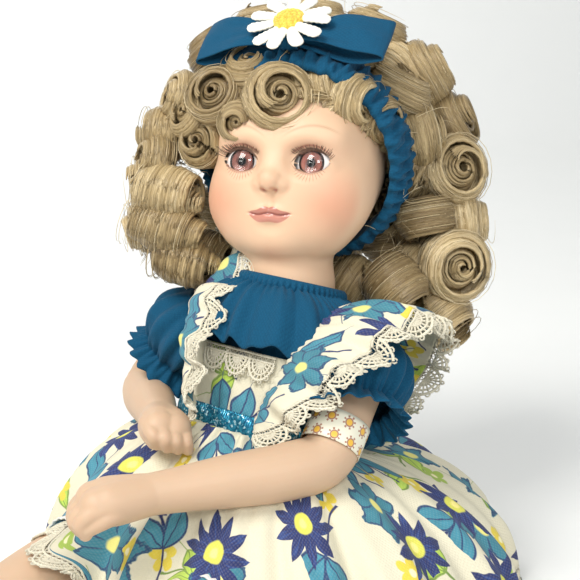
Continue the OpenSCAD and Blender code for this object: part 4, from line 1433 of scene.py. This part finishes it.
def make_daisy():
    """Padded felt petals round a middle of knots."""
    white = Mat("white_felt_petal", 0.9, Sheen_Weight=0.3)
    fuzz = white.noise(white.spot(), 1500, 4, 0.6)
    white.bump(fuzz, 0.18, 0.6)
    felt = white.set(Base_Color=white.mix(fuzz, (0.80, 0.77, 0.66), (0.93, 0.91, 0.82)))
    gold = Mat("yellow_felt_centre", 0.85, Sheen_Weight=0.3)
    grain = gold.noise(gold.spot(), 1300, 4, 0.6)
    gold.bump(grain, 0.2, 0.7)
    yellow = gold.set(Base_Color=gold.mix(grain.above(0.5, 0.2), (0.62, 0.36, 0.03), (0.90, 0.68, 0.10)))
    daisy_at = Place(BAND.out([0, -1, BAND_R + 3.0 + 7.7]), BAND.axes[0],
                     BAND.turn([0, -math.sin(math.radians(22)), math.cos(math.radians(22))]))
    rng = np.random.default_rng(4)
    parts = []
    for k in range(11):
        turn = k / 11 * TAU + rng.uniform(-0.06, 0.06)
        long = rng.uniform(8.6, 9.9)
        t = column_steps(26)
        c = np.linspace(0, TAU, 22, endpoint=False)[None, :]
        body = np.clip(1 - np.abs(2 * t - 1) ** 4.0, 0, 1) ** 0.5
        half = (1.15 + 1.15 * t**0.8) * body
        tall = 0.85 * body * (1 - 0.15 * np.cos(2 * c))
        x = 2.6 + long * t + 0 * c
        y = half * np.cos(c) + 0.35 * np.sin(t * 4 + k)
        z = 0.7 + tall * np.sin(c) + 0.10 * np.sin(t * 40) * body - 0.5 * t**2 + rng.uniform(-0.2, 0.4)
        cos, sin = math.cos(turn), math.sin(turn)
        points = np.stack([x * cos - y * sin, x * sin + y * cos, z], -1).reshape(-1, 3)
        faces, corners = grid_faces(26, 22, False, True)
        parts.append((daisy_at.out(points), faces, corners * 0.1))
    points, faces, uv = join(parts)
    piece("padded_petals", points, faces, "head", felt, uv, node=["daisy_petals"])
    a = around_steps(90)
    t = row_steps(40, 0.01)
    knots = 0.38 * np.abs(np.sin(6.5 * a + 9 * t)) * np.abs(np.sin(14 * t)) * np.clip((1 - t) * 6, 0, 1)
    r = 4.3 * np.sin(t * math.pi / 2)
    z = 0.9 + 1.7 * np.cos(t * math.pi / 2) + knots
    dome = np.stack([r * np.cos(a), r * np.sin(a), z], -1)
    surface("daisy_centre_knots", daisy_at.out(dome), "head", yellow, RING, flip=True, thick=0.3,
            node=["daisy_centre"])


make_headband()
make_bow()
make_daisy()

# ------------------------------------------------------------------ limbs


def rod(knots, sides=28):
    """A limb round a smooth line through pairs of a point and a radius, with round ends."""
    curve = smooth_path([[*point, radius] for point, radius in knots], 46)
    line, radius = curve[:, :3], curve[:, 3]
    a = np.linspace(0.0, math.pi / 2 - 0.02, 7)[1:]
    first, last = unit(line[0] - line[1]), unit(line[-1] - line[-2])
    head = line[0] + first * (radius[0] * np.sin(a[::-1]))[:, None]
    tail = line[-1] + last * (radius[-1] * np.sin(a))[:, None]
    path = np.vstack([head, line, tail])
    radii = np.concatenate([radius[0] * np.cos(a[::-1]), radius, radius[-1] * np.cos(a)])
    return tube(path, radii, sides)


def fused(name, rods, body, material, node, voxel=0.42, passes=7):
    """Several rods cast as one smooth skin."""
    points, faces, _ = join(rods)
    obj = piece(name, points, faces, body, material, node=node)
    remesh = obj.modifiers.new("cast", "REMESH")
    remesh.mode = "VOXEL"
    remesh.voxel_size = voxel * MM
    remesh.use_smooth_shade = True
    ease = obj.modifiers.new("ease", "SMOOTH")
    ease.factor = 0.5
    ease.iterations = passes


def limb_bisque():
    mat = Mat("limb_bisque", 0.52, Subsurface_Weight=0.1, Subsurface_Scale=0.004)
    return mat.set(Base_Color=bisque_colour(mat, (0.60, 0.41, 0.27)))


def make_arm(word, upper, fore, across, down, curl):
    """An arm with a bent elbow and a closed hand.
    across runs over the knuckles, down points into the palm, and curl closes the fingers."""
    shoulder = joint_at(f"{word}_shoulder")
    upper, fore, across, down = (np.array(v, float) for v in (upper, fore, across, down))
    elbow = shoulder + upper
    palm = elbow + fore
    wrist = elbow + fore * 0.78
    reach = unit(fore)
    rods = [rod([(shoulder, 7.3), (shoulder + upper * 0.45, 7.3),
                 (elbow - unit(upper) * 3, 7.3), (elbow + fore * 0.16, 7.4),
                 (elbow + fore * 0.45, 6.7), (wrist, 5.3), (palm, 5.4)]),
            rod([(wrist, 5.0), (palm - across * 1.6 - reach, 5.5),
                 (palm - across * 1.9 + reach * 3, 4.9)]),
            rod([(wrist, 5.0), (palm + across * 1.8 - reach, 5.4),
                 (palm + across * 2.2 + reach * 3, 4.7)])]
    for i, size in zip((-1.5, -0.5, 0.5, 1.5), (1.0, 1.06, 1.02, 0.92)):
        root = palm + across * i * 3.15
        rods.append(rod([
            (root + reach * 1.5 - down * 0.6, 2.35 * size),
            (root + reach * 5.6 * size + down * 0.5, 2.2 * size),
            (root - across * i * 0.25 + reach * 8.1 * size + down * (1.2 + curl), 2.0 * size),
            (root - across * i * 0.35 + reach * (8.2 - curl * 0.7) * size + down * (2.9 + curl * 1.6),
             1.8 * size)], 20))
    rods.append(rod([(palm - across * 4.2 - reach * 2 + down * 1.0, 2.6),
                     (palm - across * 5.6 + reach * 2.6 + down * 2.0, 2.2),
                     (palm - across * 4.9 + reach * 6.6 + down * 4.0, 1.9)], 20))
    fused(f"{word}_arm_casting", rods, f"{word}_arm", limb_skin, [f"{word}_arm"], 0.40, 4)


def make_arm_band():
    """A paper band round the upper arm, printed with small suns."""
    mat = Mat("printed_paper_band", 0.45, Coat_Weight=0.15)
    x, y, _ = mat.parts(mat.uv())
    dx = mat.math("FRACT", x * 2.1 + mat.math("FLOOR", y * 2.2) * 0.5) - 0.5
    dy = mat.math("FRACT", y * 2.2) - 0.5
    far = mat.math("SQRT", dx * dx + dy * dy * 0.8)
    turn = mat.math("ARCTAN2", dy, dx)
    rays = abs(mat.math("SINE", turn * 4.0))
    ring = abs(far - 0.20).below(0.035, 0.015)
    sun = far.below(0.17, 0.02)
    spikes = far.below(0.36, 0.02) * far.above(0.25, 0.02) * rays.above(0.8, 0.1)
    colour = mat.mix(sun, (0.84, 0.80, 0.64), (0.85, 0.50, 0.06))
    colour = mat.mix(mat.math("MINIMUM", ring + spikes, 1.0) * 0.85, colour, (0.33, 0.07, 0.02))
    paper = mat.set(Base_Color=colour)
    shoulder = joint_at("left_shoulder")
    upper = np.array(LEFT_UPPER, float)
    axis = unit(upper)
    side = unit(np.cross(axis, [0, 0, 1.0]))
    up = np.cross(axis, side)
    a = column_steps(120, 0, TAU * 1.06)
    v = row_steps(8, -4.1, 4.1)
    r = 7.75 + 0.30 * a / TAU
    points = laid_out(shoulder + upper * 0.74, (axis, v), (side, r * np.cos(a)), (up, r * np.sin(a)))
    surface("paper_arm_band", points, "left_arm", paper, cut=(52.0, 8.2), thick=0.16, node=["arm_band"])


KNEE, ANKLE, TOE = [4, -44, 1.5], [7, -84, -6], [10, -95, 12]


def make_leg(word, side):
    """A leg with its bloomer leg, sock, shoe and strap."""
    mirror = np.array([side, 1, 1.0])
    hip = joint_at(f"{word}_hip")
    knee, ankle, toe = (hip + np.array(v, float) * mirror for v in (KNEE, ANKLE, TOE))
    rods = [rod([(hip + (knee - hip) * 0.06, 9.3), (hip + (knee - hip) * 0.5, 9.2),
                 (knee, 8.1), (knee + (ankle - knee) * 0.4, 8.2),
                 (knee + (ankle - knee) * 0.75, 6.4), (ankle, 5.3)]),
            rod([(ankle + [0, -1.5, -1.4], 5.2), ((ankle + toe) / 2 + [0, -1, 0], 5.2),
                 (toe, 4.4)])]
    fused(f"{word}_leg_casting", rods, f"{word}_leg", limb_skin, [f"{word}_leg"], 0.5, 8)

    def leg_cloth(name, start, end, radii, waves, deep, material, node, flat):
        """A tube of cloth round the leg, from start to end, with waves that stand out by deep."""
        a = around_steps(200)
        t = row_steps(40)
        axis = unit(end - start)
        x_axis = unit(np.cross(axis, [1.0, 0, 0.2]))
        y_axis = np.cross(axis, x_axis)
        r = np.interp(t, np.linspace(0, 1, len(radii)), radii)
        swell = 0.5 + 0.5 * np.sin(t * math.pi * 3) ** 2
        r = r + deep * np.sin(waves * a + 1.3 * np.sin(2 * a) + t) * swell
        points = laid_out(start, (end - start, t), (x_axis, r * np.cos(a)), (y_axis, r * np.sin(a)))
        points[..., 2] = np.maximum(points[..., 2], 0.35)
        obj = surface(name, points, f"{word}_leg", material, RING, flat, thick=0.4, node=node)

    leg_cloth(f"{word}_bloomer_cloth", hip + (knee - hip) * 0.35, hip + (knee - hip) * 0.95,
              [10.0, 10.7, 10.9, 9.4, 10.3], 22, 0.35, white_cloth, [f"{word}_bloomer_leg"], (72.0, 28.0))
    leg_cloth(f"{word}_sock_knit", knee + (ankle - knee) * 0.5, ankle + [0, -1.5, -1.0],
              [9.0, 8.3, 7.7, 6.9, 6.5], 60, 0.12, sock_knit, [f"{word}_sock"], (52.0, 24.0))
    along = unit(toe - ankle)
    shin = unit(ankle - knee)
    sole = unit(shin - along * (shin @ along))
    across = np.cross(along, sole)
    heel = ankle + [0, -1.5, -1.4] - along * 1.0
    length = np.linalg.norm(toe - heel)
    t = column_steps(60)
    v = row_steps(61, -1, 1)
    open_to = np.interp(t, [0, 0.08, 0.2, 0.5, 0.62, 0.75, 1], [128, 126, 105, 100, 125, 172, 178])
    body = np.sqrt(np.clip(1 - np.abs(2 * (t * 0.985 + 0.012) - 1) ** 3.2, 0, 1))
    size = np.interp(t, [0, 0.3, 1], [7.2, 7.3, 6.7]) * body
    a = v * np.radians(open_to)
    wide = size * np.sin(a)
    deep = np.minimum(size * np.cos(a), 5.6)
    run = -6.4 + t * (length + 12.4)
    points = laid_out(heel, (along, run), (across, wide), (sole, deep))
    surface(f"{word}_shoe_leather", points, f"{word}_leg", shoe_leather, cut=(30.0, 40.0), thick=0.7,
            node=[f"{word}_shoe"])
    b = column_steps(50, -math.pi * 0.56, math.pi * 0.56)
    w = row_steps(6, -1.5, 1.5)
    r = 7.5
    points = laid_out(heel, (along, 5.6 + w), (across, r * np.sin(b)), (-sole, r * np.cos(b)))
    surface(f"{word}_shoe_strap_leather", points, f"{word}_leg", shoe_leather, cut=(26.0, 3.0), thick=0.6,
            node=[f"{word}_shoe_strap"])


def knit_white():
    mat = Mat("white_sock_knit", 0.9, Sheen_Weight=0.2)
    x, y, _ = mat.parts(mat.uv())
    rib = abs(mat.math("SINE", x * (TAU * 6)))
    loops = abs(mat.math("SINE", y * (TAU * 9) + rib * 2.0))
    mat.bump(rib * 0.7 + loops * 0.4, 0.3, 0.8)
    # painted light and shade: the knit is lighter on its ribs and darker in the grooves between them
    return mat.set(Base_Color=mat.mix(rib * 0.7, (0.62, 0.60, 0.55), (0.86, 0.84, 0.79)))


def leather_white():
    mat = Mat("white_shoe_leather", 0.38, Coat_Weight=0.25, Coat_Roughness=0.25)
    spot = mat.spot()
    grain = mat.noise(spot, 1900, 3, 0.6)
    scuff = mat.noise(spot, 160, 4, 0.7)
    mat.bump(grain, 0.06, 0.6)
    return mat.set(Base_Color=mat.mix(scuff.above(0.6, 0.15) * 0.6, (0.82, 0.80, 0.75), (0.60, 0.55, 0.47)))


LEFT_UPPER, LEFT_FORE = [3, -25, -23], [-31, -45, -2]
limb_skin = limb_bisque()
sock_knit = knit_white()
shoe_leather = leather_white()
make_arm("left", LEFT_UPPER, LEFT_FORE, [-0.89, 0.45, 0], [0, 0, -1], 1.6)
make_arm("right", [-19, -6.5, -27], [39.5, -32, 8], [0.66, 0.7, -0.27], [0.2, 0.2, -0.96], 0.6)
make_arm_band()
for word, side in BOTH:
    make_leg(word, side)


def make_bloomers_seat():
    """The bloomers' seat, a curved sheet under the hips."""
    x = column_steps(50, -1, 1)
    a = np.radians(np.linspace(-66, 66, 60))[None, :]
    puff = 0.4 * np.sin(9 * x + 4 * a) + 0.3 * np.sin(21 * x - 7 * a)
    r = 18.3 + puff - 1.2 * x**4
    points = hips_at + np.stack([8.8 * x + 0 * a, r * np.sin(a), -r * np.cos(a)], -1)
    points[..., 2] = np.maximum(points[..., 2], 0.3)
    flat = (22.0, 45.0)
    seat = surface("bloomers_seat_cloth", points, "torso", white_cloth, cut=flat, thick=0.5,
                   node=["bloomers_seat"])


make_bloomers_seat()

# ------------------------------------------------------------------ eyelashes


def make_lashes(word, side, rng):
    """Upper lashes as fine hairs, longest at the outer corner."""
    made = []
    eye = EYE * [side, 1, 1]
    for k in range(52):
        u = -0.96 + 1.92 * (k + rng.uniform(0, 0.6)) / 52
        x = u * EYE_W
        z = EYE_UP * max(0.02, 1 - u * u) ** 0.675 + 0.35 * u + 0.05
        root = np.array([eye[0] + side * x, eye[1], eye[2] + z])
        away = root - eye
        depth = math.sqrt(max(1.0, (EYE_R + 0.8) ** 2 - away[0] ** 2 - away[2] ** 2))
        root = np.array([root[0], eye[1] - depth, root[2]])
        long = rng.uniform(1.7, 2.5) * (0.85 + 0.5 * abs(u))
        fan = np.array([side * (1.25 * u + rng.normal(0, 0.10)), -1.0, 0.12 + rng.normal(0, 0.08)])
        s = column_steps(9)
        path = root + unit(fan) * s * long + np.array([0, 0, 1.0]) * 0.34 * long * s**2
        made.append(strand(HEAD.out(path), 0.065, 0.0, 4))
    points, faces, field = join(made)
    piece(f"{word}_lash_hairs", points, faces, "head", lash_fibre, fields={"hair": field},
          node=[f"{word}_lashes"])


def lash_material():
    mat = Mat("brown_lash_fibre", 0.45)
    shade, along, across = mat.parts(mat.field("hair"))
    tone = mat.noise(mat.vector(along, across * 8.0, shade), 3.0, 2)
    return mat.set(Base_Color=mat.mix(tone, (0.020, 0.009, 0.005), (0.060, 0.028, 0.014)))


lash_fibre = lash_material()
lash_random = np.random.default_rng(8)
for word, side in BOTH:
    make_lashes(word, side, lash_random)

# ------------------------------------------------------------------ parts inside and small fittings


def plain_grain(name, dark, light, roughness, scale, **settings):
    """A material whose tone and relief follow one grain."""
    mat = Mat(name, roughness, **settings)
    grain = mat.noise(mat.spot(), scale, 4, 0.6)
    mat.bump(grain, 0.05, 0.5)
    return mat.set(Base_Color=mat.mix(grain, dark, light))


elastic = plain_grain("elastic_cord_weave", (0.55, 0.53, 0.48), (0.82, 0.80, 0.75), 0.85, 2400)
steel = plain_grain("plated_steel", (0.42, 0.42, 0.41), (0.66, 0.66, 0.65), 0.3, 900, Metallic=1.0)
pate_card = plain_grain("pate_card", (0.42, 0.34, 0.22), (0.60, 0.50, 0.34), 0.9, 1500)
eye_setting = plain_grain("eye_setting_putty", (0.66, 0.62, 0.52), (0.82, 0.78, 0.69), 0.85, 1100)
beech = plain_grain("turned_beech", (0.40, 0.24, 0.11), (0.62, 0.42, 0.22), 0.6, 700)
assign("torso_shell", limb_skin)
assign("crown_pate", pate_card)
assign("eye_putty", eye_setting)
assign("neck_button", beech)
for name in ("arm_elastic", "leg_elastic", "neck_loop"):
    assign(name, elastic)
for name in ("back_snaps", "neck_hook", "left_arm_stud", "right_arm_stud", "left_leg_stud", "right_leg_stud"):
    assign(name, steel)

# ------------------------------------------------------------------ camera, light and stage


def towards(azimuth, elevation):
    """The direction of a viewer, in degrees from straight in front and up from level."""
    a, e = math.radians(azimuth), math.radians(elevation)
    return np.array([math.sin(a) * math.cos(e), -math.cos(a) * math.cos(e), math.sin(e)])


def set_up(name, data, aim, azimuth, elevation, distance):
    """A camera or lamp set back from a point and turned to it."""
    obj = bpy.data.objects.new(name, data)
    bpy.context.scene.collection.objects.link(obj)
    away = towards(azimuth, elevation)
    place = Vector((np.asarray(aim) + away * distance) * MM)
    obj.matrix_world = Matrix.Translation(place) @ Vector(away).to_track_quat("Z", "Y").to_matrix().to_4x4()
    return obj


def look(target, azimuth, elevation, distance, lens):
    data = bpy.data.cameras.new("camera")
    data.lens = lens
    data.sensor_width = 36
    data.clip_start = 0.01
    bpy.context.scene.camera = set_up("camera", data, target, azimuth, elevation, distance)


def area_light(name, azimuth, elevation, distance, size, power, colour=(1, 1, 1), aim=(0, 0, 80)):
    data = bpy.data.lights.new(name, "AREA")
    data.size = size * MM
    data.energy = power
    data.color = colour
    set_up(name, data, aim, azimuth, elevation, distance)


def set_stage():
    """A paper backdrop that curves up behind the doll, facing the camera, and the light of the room."""
    mat = Mat("stage_paper", 0.85)
    blotch = mat.noise(mat.spot(), 30, 3)
    paper = mat.set(Base_Color=mat.mix(blotch, (0.94, 0.945, 0.925), (0.965, 0.965, 0.945)))
    line = [[-1000, 0.0], [WALL_AT - WALL_BEND, 0.0]]
    for a in np.linspace(0, math.pi / 2, 12)[1:]:
        line.append([WALL_AT - WALL_BEND + WALL_BEND * math.sin(a), WALL_BEND - WALL_BEND * math.cos(a)])
    line.append([WALL_AT, 1100])
    rows = np.array([[[wide, *p] for p in line] for wide in (-1300, 1300)], float)
    turned = rows.copy()
    turned[..., 0] = rows[..., 0] * math.cos(facing) - rows[..., 1] * math.sin(facing)
    turned[..., 1] = rows[..., 0] * math.sin(facing) + rows[..., 1] * math.cos(facing)
    mesh = bpy.data.meshes.new("backdrop")
    faces, _ = grid_faces(2, len(line))
    mesh.from_pydata((turned.reshape(-1, 3) * MM).tolist(), [], faces[:, ::-1].tolist())
    mesh.polygons.foreach_set("use_smooth", [True] * len(mesh.polygons))
    mesh.materials.append(paper)
    obj = bpy.data.objects.new("backdrop", mesh)
    bpy.context.scene.collection.objects.link(obj)
    world = bpy.data.worlds.new("soft_daylight")
    bpy.context.scene.world = world
    world.use_nodes = True
    world.node_tree.nodes["Background"].inputs[0].default_value = (0.95, 0.98, 1.0, 1)
    world.node_tree.nodes["Background"].inputs[1].default_value = 0.46


bpy.context.scene.view_settings.view_transform = "Standard"
CAMERA_AZIMUTH = 38
WALL_AT = 1000
WALL_BEND = 240
EYES = (HEAD.out(EYE) + HEAD.out(EYE * [-1, 1, 1])) / 2
look(EYES + [2.4, -0.5, -34.8], CAMERA_AZIMUTH, 16, 330, 73)
area_light("key", -14, 54, 700, 330, 4.5, (1, 0.985, 0.95))
area_light("fill", 85, 20, 800, 500, 0.5, (0.92, 0.96, 1))
area_light("window", 50, 36, 700, 190, 1.7)
facing = math.radians(CAMERA_AZIMUTH)
across = np.array([math.cos(facing), math.sin(facing), 0])
back = np.array([-math.sin(facing), math.cos(facing), 0])
area_light("wall_wash", CAMERA_AZIMUTH, 61, 626, 600, 2.1, aim=back * WALL_AT - across * 420 + [0, 0, 100])
set_stage()
